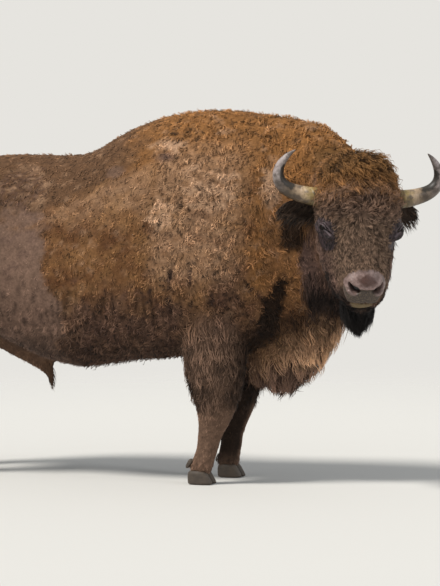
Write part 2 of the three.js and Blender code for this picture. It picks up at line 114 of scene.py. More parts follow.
# Each zone: its solids, then in millimetres how deep the skin lies under the coat, a tuft's length and
# width, then how far it stands off the skin and how much it curls, both as a share of its length.
ZONES = {
    "hindquarters": (["hindquarters"], 5, 15, 5.2, 0.42, 0.20),
    "barrel": (["barrel"], 7, 16, 5.6, 0.50, 0.26),
    "forequarters": (["forequarters"], 11, 22, 6.2, 0.52, 0.34),
    "neck": (["neck"], 12, 25, 6.0, 0.52, 0.32),
    "head": (["head", "lower_jaw"], 6, 25, 3.6, 0.46, 0.24),
    "nose": (["nose_pad"], 0.5, 3, 1.5, 0.30, 0.0),
    "upper_legs": (legs("upper"), 9, 32, 5.0, 0.46, 0.22),
    "lower_legs": (legs("lower"), 3.5, 16, 4.6, 0.40, 0.10),
    "beard": (["beard"], 12, 50, 5.5, 0.45, 0.10),
    "mane": (["brisket_mane"], 20, 50, 6.0, 0.45, 0.18),
    "tail": (["tail"], 5, 18, 4.6, 0.25, 0.05),
    "tail_tuft": (["tail_tuft"], 12, 60, 5.0, 0.25, 0.05),
    "sheath": (["sheath"], 5, 14, 4.6, 0.35, 0.08),
    "scrotum": (["scrotum"], 3, 8, 3.6, 0.25, 0.0),
    "ears": (EARS, 0, 16, 3.4, 0.45, 0.12),
}
FLESH = [node for solids, *_ in ZONES.values() for node in solids]
SKIN_NODES = [node for node in FLESH if node not in EARS]
ZONE = {name: index for index, name in enumerate(ZONES)}
HAIR = {key: np.array([values[column] for values in ZONES.values()], float)
        for key, column in {"depth": 1, "length": 2, "width": 3, "lift": 4, "curl": 5}.items()}


def by_zone(shares):
    """Each zone's own column of shares."""
    return {name: shares[:, index] for name, index in ZONE.items()}


# ---------------------------------------------------------------- small helpers


def linear(code):
    """An sRGB hex colour as the linear one that sockets take."""
    values = [int(code[i:i + 2], 16) / 255 for i in (0, 2, 4)]
    return tuple(v / 12.92 if v <= 0.04045 else ((v + 0.055) / 1.055) ** 2.4 for v in values)


def step(low, high, value):
    """0 below low, 1 above high and smooth between; low may be the higher one."""
    t = np.clip((value - low) / (high - low), 0, 1)
    return t * t * (3 - 2 * t)


def bell(distance, reach):
    """1 at no distance, 0 from reach on and smooth between."""
    return np.clip(1 - (distance / reach) ** 2, 0, 1) ** 2


def unit(vectors):
    return vectors / np.maximum(np.linalg.norm(vectors, axis=-1, keepdims=True), 1e-9)


def blob(points, centre, reach):
    """1 at centre and 0 outside the ellipsoid that reach gives, with a soft edge."""
    away = np.linalg.norm((points - np.array(centre)) / np.array(reach), axis=1)
    return bell(away, 1.0)


def one_side(points):
    """The same points with their left ones mirrored onto the right."""
    return np.column_stack([points[:, 0], np.abs(points[:, 1]), points[:, 2]])


def waves(points, size, seed):
    """Soft noise from -1 to 1, with lumps about size across: a sum of waves in fixed random directions."""
    rng = np.random.default_rng(seed)
    total = np.zeros(len(points))
    for _ in range(10):
        along = points @ unit(rng.normal(size=3))
        total += np.sin(along * (2 * math.pi / size) * rng.uniform(0.6, 1.5) + rng.uniform(0, 6.28))
    return np.clip(total / 4, -1, 1)


def wire(tree, node, inputs):
    """Sets sockets to a value or a hex colour, or links them to an output or to a node's first one."""
    for socket, value in inputs.items():
        if isinstance(value, bpy.types.Node):
            value = value.outputs[0]
        if isinstance(value, str):
            value = (*linear(value), 1)
        if isinstance(value, bpy.types.NodeSocket):
            tree.links.new(value, node.inputs[socket])
        else:
            node.inputs[socket].default_value = value


def add(tree, kind, inputs=None, **settings):
    """Adds one shader node with its settings and its inputs."""
    made = tree.nodes.new("ShaderNode" + kind)
    for name, value in settings.items():
        setattr(made, name, value)
    wire(tree, made, inputs or {})
    return made


def new_material(name, **shader):
    """A Principled material with its constant sockets set, as (material, tree, shader node)."""
    made = bpy.data.materials.new(name)
    made.use_nodes = True
    tree = made.node_tree
    principled = tree.nodes["Principled BSDF"]
    wire(tree, principled, {socket.replace("_", " "): value for socket, value in shader.items()})
    return made, tree, principled


def new_object(name, data):
    """Links an object that shows some data."""
    made = bpy.data.objects.new(name, data)
    bpy.context.scene.collection.objects.link(made)
    return made


def new_mesh(name, bm):
    """A mesh made from a bmesh, which is then freed."""
    mesh = bpy.data.meshes.new(name)
    bm.to_mesh(mesh)
    bm.free()
    return mesh


def new_piece(name, mesh, replaced=()):
    """Links a finished mesh as a piece of the model."""
    piece = new_object(name, mesh)
    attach(piece, "root")
    if replaced:
        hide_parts(*replaced)
    return piece


def fetched(items, key, width=1, kind=np.float32):
    """One number or row of numbers for each item of a mesh's list."""
    flat = np.empty(len(items) * width, kind)
    items.foreach_get(key, flat)
    return flat.reshape(-1, width) if width > 1 else flat


def points_of(mesh):
    return fetched(mesh.vertices, "co", 3).astype(float)


def normals_of(mesh):
    return fetched(mesh.vertices, "normal", 3).astype(float)


def move_points(mesh, points):
    mesh.vertices.foreach_set("co", points.astype(np.float32).ravel())
    mesh.update()


def numbers(mesh, name):
    """A point attribute's numbers."""
    return fetched(mesh.attributes[name].data, "value").astype(float)


def edges_of(mesh):
    return fetched(mesh.edges, "vertices", 2, np.int32)


def search_tree(mesh):
    """A mesh's faces, ready for rays."""
    return BVHTree.FromPolygons(points_of(mesh).tolist(), [tuple(p.vertices) for p in mesh.polygons])


def store(mesh, name, values):
    """Keeps values as a point attribute: four columns as a colour, one as a number."""
    kind, key = ("FLOAT_COLOR", "color") if values.ndim == 2 else ("FLOAT", "value")
    layer = mesh.attributes.get(name) or mesh.attributes.new(name, kind, "POINT")
    layer.data.foreach_set(key, values.astype(np.float32).ravel())


def relaxed(points, edges, rounds, share=1.0):
    """Smooths points without shrinking them; share is how much each vertex joins in."""
    ends, others = np.concatenate([edges, edges[:, ::-1]]).T
    count = np.maximum(np.bincount(ends, minlength=len(points)), 1)[:, None]
    share = np.broadcast_to(np.asarray(share, float), len(points))[:, None]
    for _ in range(rounds):
        for pull in (0.55, -0.57):
            total = np.stack([np.bincount(ends, column[others], len(points)) for column in points.T], 1)
            points = points + share * pull * (total / count - points)
    return points


# ---------------------------------------------------------------- skin

SKIN = "wisent_skin"
EYE_RADIUS = 22.0
EYE_OUT = (0.05, 0.70, 0.71)  # the way an eye looks in the head's frame, mirrored for the right one
EYE_SLANT = 52  # degrees that the slit turns from the nose towards the middle of the face
EYE_SHIFT = (-3, -7)  # how far the eyeball sits from its solid's middle along the slit and up across it
SLIT_HALF, SLIT_ABOVE, SLIT_BELOW = 19.5, 9.5, 10.5  # half the lids' opening, and its height each way
TEAR_SLOPE = 0.30  # how steeply the crease runs down from the eye's inner corner
NOSTRIL_AT = (444, 57, 45)
MOST_DEPTH = 0.34  # the skin lies no deeper than this share of the flesh's thickness
FOLD_DEPTH = 13 * MM
CUFF = (0.085, 0.070)  # the heights between which the skin's edge comes out and down over each hoof
CUFF_OUT, CUFF_DOWN = 3 * MM, 7 * MM
# An ear's root and tip in the head's frame, and its half width along it, all in millimetres.
EAR_ENDS = {"right": ((55, -120, -30), (20, -352, -104)), "left": ((55, 120, -24), (-6, 306, -172))}
EAR_HALF = ((0, 26), (0.3, 42), (0.6, 50), (0.82, 42), (0.94, 25), (1, 6))


def flesh_copy(nodes):
    """The solids of some nodes as one bmesh, with their loose triangles merged."""
    bm = bmesh.new()
    for node in nodes:
        bm.from_mesh(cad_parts[node].data)
    bmesh.ops.remove_doubles(bm, verts=bm.verts, dist=0.02 * MM)
    return bm


def fused(nodes, voxel):
    """Some nodes as one closed mesh of even quads."""
    draft = new_object("draft", new_mesh("draft", flesh_copy(nodes)))
    remesh = draft.modifiers.new("fuse", "REMESH")
    remesh.mode = "VOXEL"
    remesh.voxel_size = voxel
    result = bpy.data.meshes.new_from_object(draft.evaluated_get(bpy.context.evaluated_depsgraph_get()))
    bpy.data.objects.remove(draft)
    return result


def refine(mesh, wanted):
    """Splits the faces whose centre wanted() picks, and smooths the new points into place."""
    bm = bmesh.new()
    bm.from_mesh(mesh)
    centres = np.array([face.calc_center_median()[:] for face in bm.faces])
    chosen = wanted(in_head(centres))
    edges = {edge for face, take in zip(bm.faces, chosen) if take for edge in face.edges}
    bmesh.ops.subdivide_edges(bm, edges=list(edges), cuts=1, use_grid_fill=True)
    bm.to_mesh(mesh)
    bm.free()
    near = wanted(in_head(points_of(mesh)))
    move_points(mesh, relaxed(points_of(mesh), edges_of(mesh), 2, near.astype(float)))


def on_head(h):
    """Anywhere on the head, down to the throat."""
    a, l, u = h.T
    return (a > -60) & (np.abs(l) < 230) & (u > -210)


def on_face(h):
    """From the eyes to the chin."""
    a, l, u = h.T
    return (a > 40) & (np.abs(l) < 215) & (u > -95)


def on_features(h):
    """Round the eyes, the nostrils and the mouth."""
    a, l, u = h.T
    eye = np.hypot(a - 168, u - 30) < 66
    muzzle = (a > 395) & (u > -85)
    return (eye & (np.abs(l) > 110)) | muzzle


def zone_shares(points):
    """How much each point belongs to each zone, from its distance to the zones' solids."""
    reach, blend = 0.12, 0.014  # how far a solid is looked for, and how far its share fades
    away = np.empty((len(points), len(ZONES)))
    for column, (solids, *_) in enumerate(ZONES.values()):
        bm = flesh_copy(solids)
        tree = BVHTree.FromBMesh(bm)
        bm.free()
        found = (tree.find_nearest(p, reach) for p in points)
        away[:, column] = [near[3] if near[0] else reach for near in found]
    away -= away.min(axis=1, keepdims=True)
    shares = np.exp(-away / blend)
    return shares / shares.sum(axis=1, keepdims=True)


def depth_of_coat(points, shares):
    """How far the skin lies inside the solids, in metres."""
    depth = shares @ HAIR["depth"]
    a, _, u = in_head(points).T
    head = shares[:, ZONE["head"]]
    mop = step(90, -40, a) * step(10, 90, u)
    throat = step(-60, -150, u) * step(420, 300, a)
    depth += head * (13 * mop + 9 * throat)
    bare = np.maximum(step(330, 400, a), bell(np.hypot(a - 158, u - 42), 75))
    depth *= 1 - 0.62 * head * bare * (1 - mop) * (1 - throat)
    flank = moulted(points)
    depth = depth + 3 * flank * (shares[:, ZONE["barrel"]] + shares[:, ZONE["hindquarters"]])
    return depth * MM


def hold_at_hooves(points):
    """0 where the skin meets a hoof and 1 well above it."""
    return step(0.060, 0.115, points[:, 2])


def thickness(mesh, points, normals):
    """How thick the flesh is under each point, up to 0.3 m."""
    tree = search_tree(mesh)
    far, start = 0.3, 2 * MM  # the rays start just under the skin
    hits = (tree.ray_cast(Vector(p), Vector(n), far) for p, n in zip(points - normals * start, -normals))
    return np.array([hit[3] if hit[0] else far for hit in hits])


def eye_frame(side):
    """The eye's centre and its axes out, along the slit towards the nose, and up across it."""
    low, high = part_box(f"eye_{side}")
    centre = in_head(np.array([(low + high) / 2]))[0]
    out = unit(np.array(EYE_OUT) * (1, SIDES[side], 1))
    along = unit(np.array((1.0, 0, 0)) - out * out[0])
    up = np.cross(out, along) * (-1 if side == "left" else 1)
    up = up if up[2] > 0 else -up
    c, s = math.cos(math.radians(EYE_SLANT)), math.sin(math.radians(EYE_SLANT))
    along, up = along * c + up * s, up * c - along * s
    return centre + along * EYE_SHIFT[0] + up * EYE_SHIFT[1], out, along, up


def eye_places(h, side):
    """Points seen from an eye: towards the nose along its slit, up across it, and out of the head."""
    centre, out, along, up = eye_frame(side)
    offset = h - centre
    return offset @ along, offset @ up, offset @ out


def slit(s, t):
    """How far points lie outside the opening between the lids; below 0 is inside it."""
    s, t = s + 2, t + 3
    bow = np.clip(1 - (s / SLIT_HALF) ** 2, 0, 1)
    edge = np.where(t > 0, t - SLIT_ABOVE * bow, -t - SLIT_BELOW * bow)
    return np.where(np.abs(s) > SLIT_HALF, np.hypot(np.abs(s) - SLIT_HALF, t), edge)


def lids(h, side):
    """Draws the skin over the eye as two lids on a low mound, with folds, a brow and a tear crease."""
    out = eye_frame(side)[1]
    s, t, height = eye_places(h, side)
    radius = np.hypot(s, t)
    near = (height > -34) & (radius < 80)
    edge = slit(s, t)
    s, t = s + 2, t + 3
    wide = np.abs(s)
    ball = np.sqrt(np.clip((EYE_RADIUS + 2.4) ** 2 - radius ** 2, 0, None))
    mound = 23 * np.exp(-(radius / 34) ** 2) - 3
    target = np.maximum(np.maximum(ball, mound), height * step(20, 52, radius))
    blend = step(78, 52, radius)
    target = height * (1 - blend) + target * blend
    target += 1.6 * bell(edge - 2.5, 3)
    target -= 3.2 * bell(edge - 8, 3.6) * (t > -3) * step(34, 20, wide)
    target -= 2.4 * bell(edge - 8, 3.6) * (t <= -3) * step(30, 18, wide)
    target -= 2.0 * bell(edge - 17, 4) * step(36, 22, wide)
    target += 9 * bell(np.hypot((s + 4) / 52, (t - 32) / 17), 1)
    beyond = t + TEAR_SLOPE * (s - SLIT_HALF)
    target -= 8 * bell(beyond, 5) * step(14, 24, s) * step(64, 40, s)
    target += 3.5 * bell(beyond + 10, 6) * step(14, 24, s) * step(58, 40, s)
    target -= 9 * bell(np.hypot((s - 44) / 40, (t - 2) / 30), 1)
    wrinkles = 1.1 * np.sin((s + 0.15 * t) * 0.75)
    target += wrinkles * step(-14, -22, t) * step(-70, -50, t) * step(34, 18, wide)
    sunk = np.sqrt(np.clip((EYE_RADIUS - 5) ** 2 - radius ** 2, 0, None)) - 2
    target = np.where(edge < 0, sunk, target)
    return h + np.outer(np.where(near, target - height, 0), out)


def nostril_places(h, side):
    """Points seen from a nostril: how far inside its comma shape, across it, along it, and its way out."""
    centre = np.array(NOSTRIL_AT) * (1, SIDES[side], 1)
    out = unit(np.array((0.66, SIDES[side] * 0.50, 0.56)))
    long = unit(np.array((0.69, -SIDES[side] * 0.72, 0.0)))
    long = unit(long - out * (long @ out))
    across = np.cross(out, long)
    across = across if across[2] < 0 else -across
    offset = h - centre
    s, t, height = offset @ long, offset @ across, offset @ out
    bend = t - 5 * (1 - (s / 36) ** 2)
    width = 14 + 9 * step(-14, 22, s)
    return bell(np.hypot(s / 42, bend / width), 1.0) * (height > -60), bend, s, height, out


def nostrils(h, side):
    """Carves a comma-shaped nostril with a raised wing above and outside it."""
    inside, bend, s, height, out = nostril_places(h, side)
    wing = bell(np.hypot((s + 6) / 50, (bend + 18) / 15), 1.0)
    sill = bell(np.hypot(s / 42, (bend - 20) / 12), 1.0)
    near = height > -45
    push = (-34 * step(0.04, 0.36, inside) + (6 * wing + 3.5 * sill) * (1 - step(0, 0.25, inside))) * near
    return h + np.outer(push, out)


PAD_AT, PAD_REACH = (412, 0, 60), (46, 108, 90)  # the nose pad's ellipsoid in the head's frame


def lip_line(h):
    """How high the lips meet, which drops towards the corners of the mouth."""
    a, l, _ = h.T
    return -5 + 0.2126 * (a - 500) - 0.0018 * l ** 2


def pad_rim(h):
    """1 on the edge of the nose pad and less inside it."""
    return np.linalg.norm((h - np.array(PAD_AT)) / np.array(PAD_REACH), axis=1)


def mouth(h):
    """The line between the lips, the groove under the nose, the pad's edge and a fuller lower lip."""
    a, l, u = h.T
    line = lip_line(h)
    front = step(340, 400, a)
    groove = bell(u - line, 7) * front
    middle = np.array((400.0, 0, -45))
    inward = unit(middle - h) * (1, 1, 0)
    rim = pad_rim(h)
    philtrum = bell(l - 3, 7) * step(440, 455, a) * (u > line)
    ridge = bell(rim - 0.94, 0.09) * step(418, 436, a)
    under = bell(rim - 1.14, 0.14) * step(425, 445, a) * (u > line + 6)
    lip = bell(np.hypot((l + 12) / 54, (u - line + 27) / 26), 1) * step(440, 470, a)
    upper = bell(u - (line + 13), 11) * step(430, 460, a)
    h = h + inward * (11 * groove + 4 * philtrum - 7 * lip - 3 * upper)[:, None]
    out = unit(np.array((0.75, 0.0, 0.66)))
    return h + np.outer(3.5 * ridge - 4.5 * under, out)


def sculpt_head(mesh):
    """Shapes the eyes' surrounds, the nostrils and the mouth."""
    points = points_of(mesh)
    h = in_head(points)
    a, l, u = h.T
    chosen = (a > 0) & (np.abs(l) < 270) & (u > -140)
    part = h[chosen]
    for side in SIDES:
        part = lids(part, side)
        part = nostrils(part, side)
    part = mouth(part)
    points[chosen] = from_head(part)
    move_points(mesh, points)


def ear_leaf(side):
    """One ear as a cupped leaf with a wall, its root inside the head and its hollow facing ahead."""
    root, tip = (np.array(place) + (0, HORN_LEAN, 0) for place in EAR_ENDS[side])
    ahead = unit(tip - root)
    rise = unit(HEAD_AXES[2] - ahead * (HEAD_AXES[2] @ ahead))  # the world's up in the head's frame
    front = np.cross(rise, ahead)
    front = front if front[2] > 0 else -front
    bm = bmesh.new()
    bmesh.ops.create_grid(bm, x_segments=16, y_segments=12, size=1)
    for vertex in bm.verts:
        s, t = (vertex.co.x + 1) / 2, vertex.co.y
        half = np.interp(s, *zip(*EAR_HALF))
        place = root + (tip - root) * s + rise * (half * t * (1 - 0.18 * (t < 0)) + 6 - 10 * s * s)
        place = place - front * (0.50 * half * (1 - t * t) - 6 * s)
        vertex.co = from_head(place[None])[0]
    bmesh.ops.recalc_face_normals(bm, faces=bm.faces)
    bmesh.ops.solidify(bm, geom=bm.faces, thickness=4.5 * MM)
    if bm.calc_volume(signed=True) < 0:
        bmesh.ops.reverse_faces(bm, faces=bm.faces)
    return new_mesh("ear", bm)


def join_ears(mesh, shares):
    """Adds both ears to the skin, and their rows to its zone shares."""
    bm = bmesh.new()
    bm.from_mesh(mesh)
    for side in SIDES:
        bm.from_mesh(ear_leaf(side))
    bm.to_mesh(mesh)
    bm.free()
    added = np.zeros((len(mesh.vertices) - len(shares), len(ZONES)))
    added[:, ZONE["ears"]] = 1
    return np.concatenate([shares, added])


def moulted(points):
    """1 on the flank, where the winter coat has gone and short hair lies flat."""
    q = from_ground(points)
    x, _, z = q.T
    broad, mid, fine = (waves(points, size, seed) for size, seed in ((0.22, 4), (0.09, 5), (0.035, 6)))
    ragged = 0.030 * broad + 0.022 * mid + 0.016 * fine
    front = -0.775 + 0.10 * step(0.96, 0.84, z) + 0.05 * step(1.14, 1.30, z) + ragged
    top = 1.27 + 0.05 * broad + 0.035 * mid + 0.02 * fine
    edge = 0.018 + 0.03 * step(1.10, 1.25, z)
    flank = step(edge, -edge, x - front) * step(0.045, -0.045, z - top)
    behind_hump = blob(one_side(q), (-0.43, 0.26, 1.457), (0.075, 0.12, 0.045))
    return np.maximum(flank, 0.6 * step(0.1, 0.5, behind_hump + 0.1 * fine))


# Upright folds of the hide behind each shoulder and over the elbow: x and z at the top and the bottom.
FOLDS = [
    ((-0.10, 1.10), (-0.17, 0.74)),
    ((-0.03, 1.06), (-0.07, 0.72)),
    ((-0.22, 1.02), (-0.30, 0.72)),
    ((0.09, 1.02), (0.06, 0.80)),
    ((0.20, 0.99), (0.31, 0.80)),
    ((0.13, 0.95), (0.25, 0.70)),
]


def folded(points):
    """1 along the hide's upright folds, 0 elsewhere."""
    x, y, z = from_ground(points).T
    bend = 0.016 * waves(points, 0.13, 31)
    total = np.zeros(len(x))
    for (x0, z0), (x1, z1) in FOLDS:
        t = (z0 - z) / (z0 - z1)
        line = x0 + (x1 - x0) * t + 0.02 * np.sin(math.pi * t) + bend
        total = np.maximum(total, bell(x - line, 0.018) * step(0, 0.25, t) * step(1.05, 0.75, t))
    broken = 0.25 + 0.75 * step(-0.5, 0.4, waves(points, 0.07, 33))
    return total * broken * step(0.12, 0.2, np.abs(y)) * (z > 0.68)


def unwrap(piece):
    """An unwrap of the skin's own shape, which the coat's roots read."""
    piece.data.uv_layers.new(name="OFBake")
    bpy.context.view_layer.objects.active = piece
    piece.select_set(True)
    bpy.ops.object.mode_set(mode="EDIT")
    bpy.ops.mesh.select_all(action="SELECT")
    bpy.ops.uv.smart_project(angle_limit=math.radians(66), island_margin=0.001)
    bpy.ops.object.mode_set(mode="OBJECT")
    piece.select_set(False)


# ---------------------------------------------------------------- markings


# How far to each side of the head the dark hair of cheeks and throat reaches: a against l, in millimetres.
RUFF = (
    (90, 205), (148, 228), (222, 240), (305, 212), (381, 182), (424, 166), (473, 142), (512, 84), (545, 30)
)


def ruff(h):
    """1 where the cheeks' dark hair spreads over the neck behind the jaw."""
    a, l, u = h.T
    reach = np.interp(a, *zip(*RUFF))
    side = step(12, -12, np.abs(l) - reach)
    return side * step(70, 120, a) * step(-430, -360, u)


def muzzle_parts(h, shares):
    """The muzzle's bare skin as four shares: nose pad, its brown patch, upper lip and lower lip."""
    a, l, u = h.T
    near = shares[:, ZONE["nose"]] + shares[:, ZONE["head"]]
    under = u - lip_line(h)
    side = np.abs(l + 12)
    rim = pad_rim(h)
    pad = step(1.03, 0.97, rim)
    for way in SIDES:
        _, bend, s, height, _ = nostril_places(h, way)
        sill = step(0.0, 0.35, bell(np.hypot((s + 4) / 46, (bend - 17) / 17), 1.0)) * (height > -40)
        pad = np.maximum(pad, 0.85 * sill * step(2, 14, under))
    brown = step(0.0, 0.8, blob(h, (420, 4, 70), (44, 72, 56)) + 0.15 * waves(h, 22, 51)) * pad
    upper = step(-2, 2, under) * step(415, 435, a) * step(12, 0, side - 54 - 0.55 * under) * (1 - pad)
    lower = step(-1, -5, under) * step(1.10, 0.90, np.hypot(side / 52, under / 44)) * step(440, 460, a)
    return np.stack([pad, brown, upper, lower], 1) * near[:, None]


def bare_of(parts):
    """1 where the muzzle's skin is bare."""
    return np.clip(parts[:, 0] + parts[:, 2] + parts[:, 3], 0, 1)


def markings(points, normals, shares):
    """The coat's colours by place, with painted shade in folds, gaps, armpits, under the ears and under the
    body: two sets of four shares, then flank and leg. See pelt_colour.
    """
    q = from_ground(points)
    x, y, z = q.T
    side = np.abs(y)
    h = in_head(points)
    a, l, u = h.T
    at = by_zone(shares)
    trunk = at["hindquarters"] + at["barrel"] + at["forequarters"] + at["neck"]
    legs_share = at["upper_legs"] + at["lower_legs"]
    ragged = waves(points, 0.16, 11)
    fine = waves(points, 0.05, 12)

    mantle = step(-0.50, -0.28, x + 0.05 * ragged) * step(1.36, 1.56, z + 0.06 * fine) * trunk
    rust = trunk * step(0.16, 0.36, x + 0.04 * ragged) * step(0.70, 0.95, z) * step(0.62, 0.70, z + 0.3 * x)
    rust = np.maximum(rust, 0.85 * mantle)
    edge = z - 1.27 - 0.475 * (x + 0.75) + 0.02 * fine  # the loin's darker band lies above this line
    loin = trunk * step(-0.015, 0.03, edge) * step(-0.20, -0.50, x + 0.07 * ragged + 0.04 * fine)
    rim = 0.6 * trunk * bell(edge + 0.035, 0.05) * step(-0.30, -0.40, x) * step(-0.82, -0.74, x)
    loin = np.maximum(loin, at["hindquarters"] + at["tail"])
    flank = moulted(points) * (at["barrel"] + at["hindquarters"])
    leg = np.clip(legs_share + 0.8 * at["sheath"], 0, 1)

    low = 0.05 * ragged + 0.03 * fine
    # The lower side is darker: partly its darker hair, partly painted shade on the underside.
    below = trunk * step(0.96, 0.76, z + low) * step(0.75, 0.30, x) * (0.72 - 0.5 * flank)
    below = below * (1 - 0.4 * step(-0.10, 0.05, x)) * (1 - step(0.28, 0.36, x - 0.4 * (z - 0.80)))
    # The hide's folds are painted dark and near black along their creases: painted shade.
    folds = folded(points) * trunk
    hip = np.hypot((x + 0.91) / 0.125, (z - 1.375) / 0.11) + 0.18 * fine + 0.10 * ragged
    outer = step(0.10, 0.18, side)
    clump = step(1.0, 0.8, hip) * outer
    rim = np.maximum.reduce([
        rim,
        bell(hip - 1.12, 0.24) * outer * step(-1.0, -0.82, x) * step(-0.4, 0.5, ragged + fine),
        0.9 * clump * step(0.2, 0.7, waves(points, 0.014, 14)),
    ])
    brow = at["head"] * step(-60, 70, a) * step(160, 90, a) * step(20, 70, u)
    dark = np.maximum.reduce([
        below,
        0.50 * blob(one_side(q), (0.15, 0.30, 0.86), (0.18, 0.30, 0.22)),
        0.85 * at["mane"] * step(0.66, 0.54, z + 0.04 * fine),
        folds,
        0.50 * clump * step(-0.4, 0.4, waves(points, 0.02, 13)),
        0.40 * flank * step(0.1, 0.6, 0.6 * fine + 0.6 * ragged),
        0.9 * blob(one_side(q), (-0.18, 0.26, 1.526), (0.085, 0.12, 0.034)),
        # The lower neck is darker: partly darker hair, partly painted shadow of the head.
        0.24 * at["neck"] * step(1.46, 1.30, z),
        0.4 * brow,
        0.85 * (at["head"] * step(40, -50, u)),
        at["neck"] * ruff(h),
    ])
    # Painted shade, near black, in the gap between the foreleg and the brisket.
    slanted = one_side(q) - np.outer(0.4 * (z - 0.80), (1, 0, 0))
    gap_shade = blob(slanted, (0.318, 0.24, 0.80), (0.060, 0.22, 0.25))
    streaks = step(0.15, 0.7, waves(points * (1, 1, 0.16), 0.034, 43))
    streaks = streaks * step(0.98, 0.86, z) * step(0.02, -0.06, x)
    # The sides of the legs that face the middle are painted near black: painted shade.
    inner = np.clip(-normals[:, 1] * np.sign(y), 0, 1)
    # Painted shade, near black, in each armpit.
    armpit_shade = step(0.30, 0.16, side) * step(0.92, 0.70, z) * step(-0.30, -0.05, x) * (1 - at["mane"])
    black = np.maximum.reduce([
        step(0.05, 0.5, at["beard"]),
        at["tail_tuft"],
        at["ears"] * 0.76,
        0.25 * at["sheath"],
        0.85 * legs_share * step(0.0, 0.55, inner) * step(0.0, 0.15, z),
        0.58 * folds,
        0.55 * streaks * trunk,
        at["head"] * step(-4, -40, u - lip_line(h)) * step(390, 430, a),
        0.85 * at["head"] * step(60, 80, np.abs(l) - 0.35 * u) * step(405, 440, a),
        0.9 * armpit_shade * (trunk + at["upper_legs"]),
        at["head"] * step(-30, -100, u) * step(230, 340, a),
        (0.93 * at["neck"] + 0.3 * at["mane"]) * ruff(h) * step(270, 350, a),
        0.92 * step(0.05, 0.35, gap_shade) * (1 - legs_share),
        # Near black belly: partly its dark hair, partly painted shade on the underside.
        0.6 * trunk * step(0.76, 0.60, z + low) * step(0.35, 0.1, x),
    ])
    for eye in SIDES:
        s, t, height = eye_places(h, eye)
        close = at["head"] * (height > -60)
        lid = step(1.35, 0.95, np.hypot((s + 2) / 23, (t + 3) / 12))
        black = np.maximum(black, lid * close)
    mirrored = one_side(h)
    # A painted shadow, near black, on the neck under each ear.
    ear_shadow = blob(mirrored, (100, 266, -190), (118, 84, 120)) * (at["neck"] + at["forequarters"])
    sunk = 0.72 * step(0.0, 0.5, hollow(h) * at["head"])
    black = np.maximum.reduce([black, sunk, 0.9 * step(0.05, 0.45, ear_shadow)])

    tan = np.maximum.reduce([blob(one_side(q), centre, reach) for centre, reach in TAN_PATCHES])
    tan = step(0.05, 0.95, tan + 0.38 * fine + 0.20 * ragged - 0.05) * (1 - flank)
    wool = at["forequarters"] * step(0.30, 0.10, x) * step(0.86, 1.02, z) * step(1.66, 1.50, z)
    back = 0.8 * at["barrel"] * step(1.16, 1.34, z + 0.05 * ragged) * step(0.02, -0.04, edge)
    tan = np.maximum.reduce([
        tan,
        (0.46 + 0.20 * fine) * np.maximum(wool, back) * (1 - flank),
        0.6 * rim * (1 - flank),
        at["mane"] * (0.50 + 0.35 * step(-0.1, 0.5, fine)),
    ])

    olive = np.maximum.reduce([
        at["neck"] * blob(q, (0.60, -0.16, 1.52), (0.16, 0.24, 0.10)),
        0.6 * at["head"] * step(-60, -130, a) * step(30, 80, u),
        at["head"] * blob(mirrored, (10, 180, 25), (75, 70, 75)),
    ])
    face = at["head"] + at["nose"] + at["ears"]
    mop = at["head"] * step(150, -90, a + 40 * fine) * np.maximum(step(20, 90, u), a < 20)
    return np.stack([rust, loin, dark, black], 1), np.stack([tan, olive, face, mop], 1), flank, leg


# Woolly paler patches of the winter coat, on both sides: centre and reach.
TAN_PATCHES = [
    ((0.06, 0.31, 1.36), (0.21, 0.30, 0.19)),
    ((-0.16, 0.35, 1.26), (0.12, 0.20, 0.16)),
    ((-0.17, 0.25, 1.58), (0.15, 0.20, 0.07)),
    ((0.33, 0.24, 1.40), (0.08, 0.20, 0.19)),
    ((-0.03, 0.30, 1.47), (0.11, 0.20, 0.06)),
]


# How many lumps of each pattern go to a metre, from a size in millimetres; the waves of rings and lines are
# 314 mm long at scale 1. Single hairs, pores and the iris's streaks are too fine to show at this size, so
# their patterns are as coarse as the comments say.
SCALE = {
    "mottle": 9.0,  # 110 mm: broad paler lumps of the side
    "growth rings": 14.0,  # 22 mm a ring
    "horn blotches": 30.0,  # 33 mm
    "clumps": 34.0,  # 29 mm: locks that lie together
    "hoof mottle": 40.0,  # 25 mm
    "skin blotches": 42.0,  # 24 mm
    "hoof lines": 45.0,  # 7 mm a band
    "horn fibres": 60.0,  # 17 mm, and down to 0.5 mm in its finer octaves
    "wool": 60.0,  # 17 mm: crimped bundles, as single hairs of 0.05 mm don't show
    "grain": 95.0,  # 11 mm: the width of two tufts, as single hairs don't show
    "folds": 150.0,  # 7 mm
    "spots": 150.0,  # 7 mm
    "cobbles": 260.0,  # 4 mm
    "pores": 420.0,  # 2.4 mm, drawn coarser than the 0.3 mm of real ones
    "iris streaks": 600.0,  # 1.7 mm, drawn coarser than the 0.2 mm of real ones
}


def painted(tree, colour, layers):
    """Lays colours over a first one, each by its share."""
    for share, over in layers:
        colour = add(tree, "Mix", {0: share, 6: colour, 7: over}, data_type="RGBA").outputs[2]
    return colour


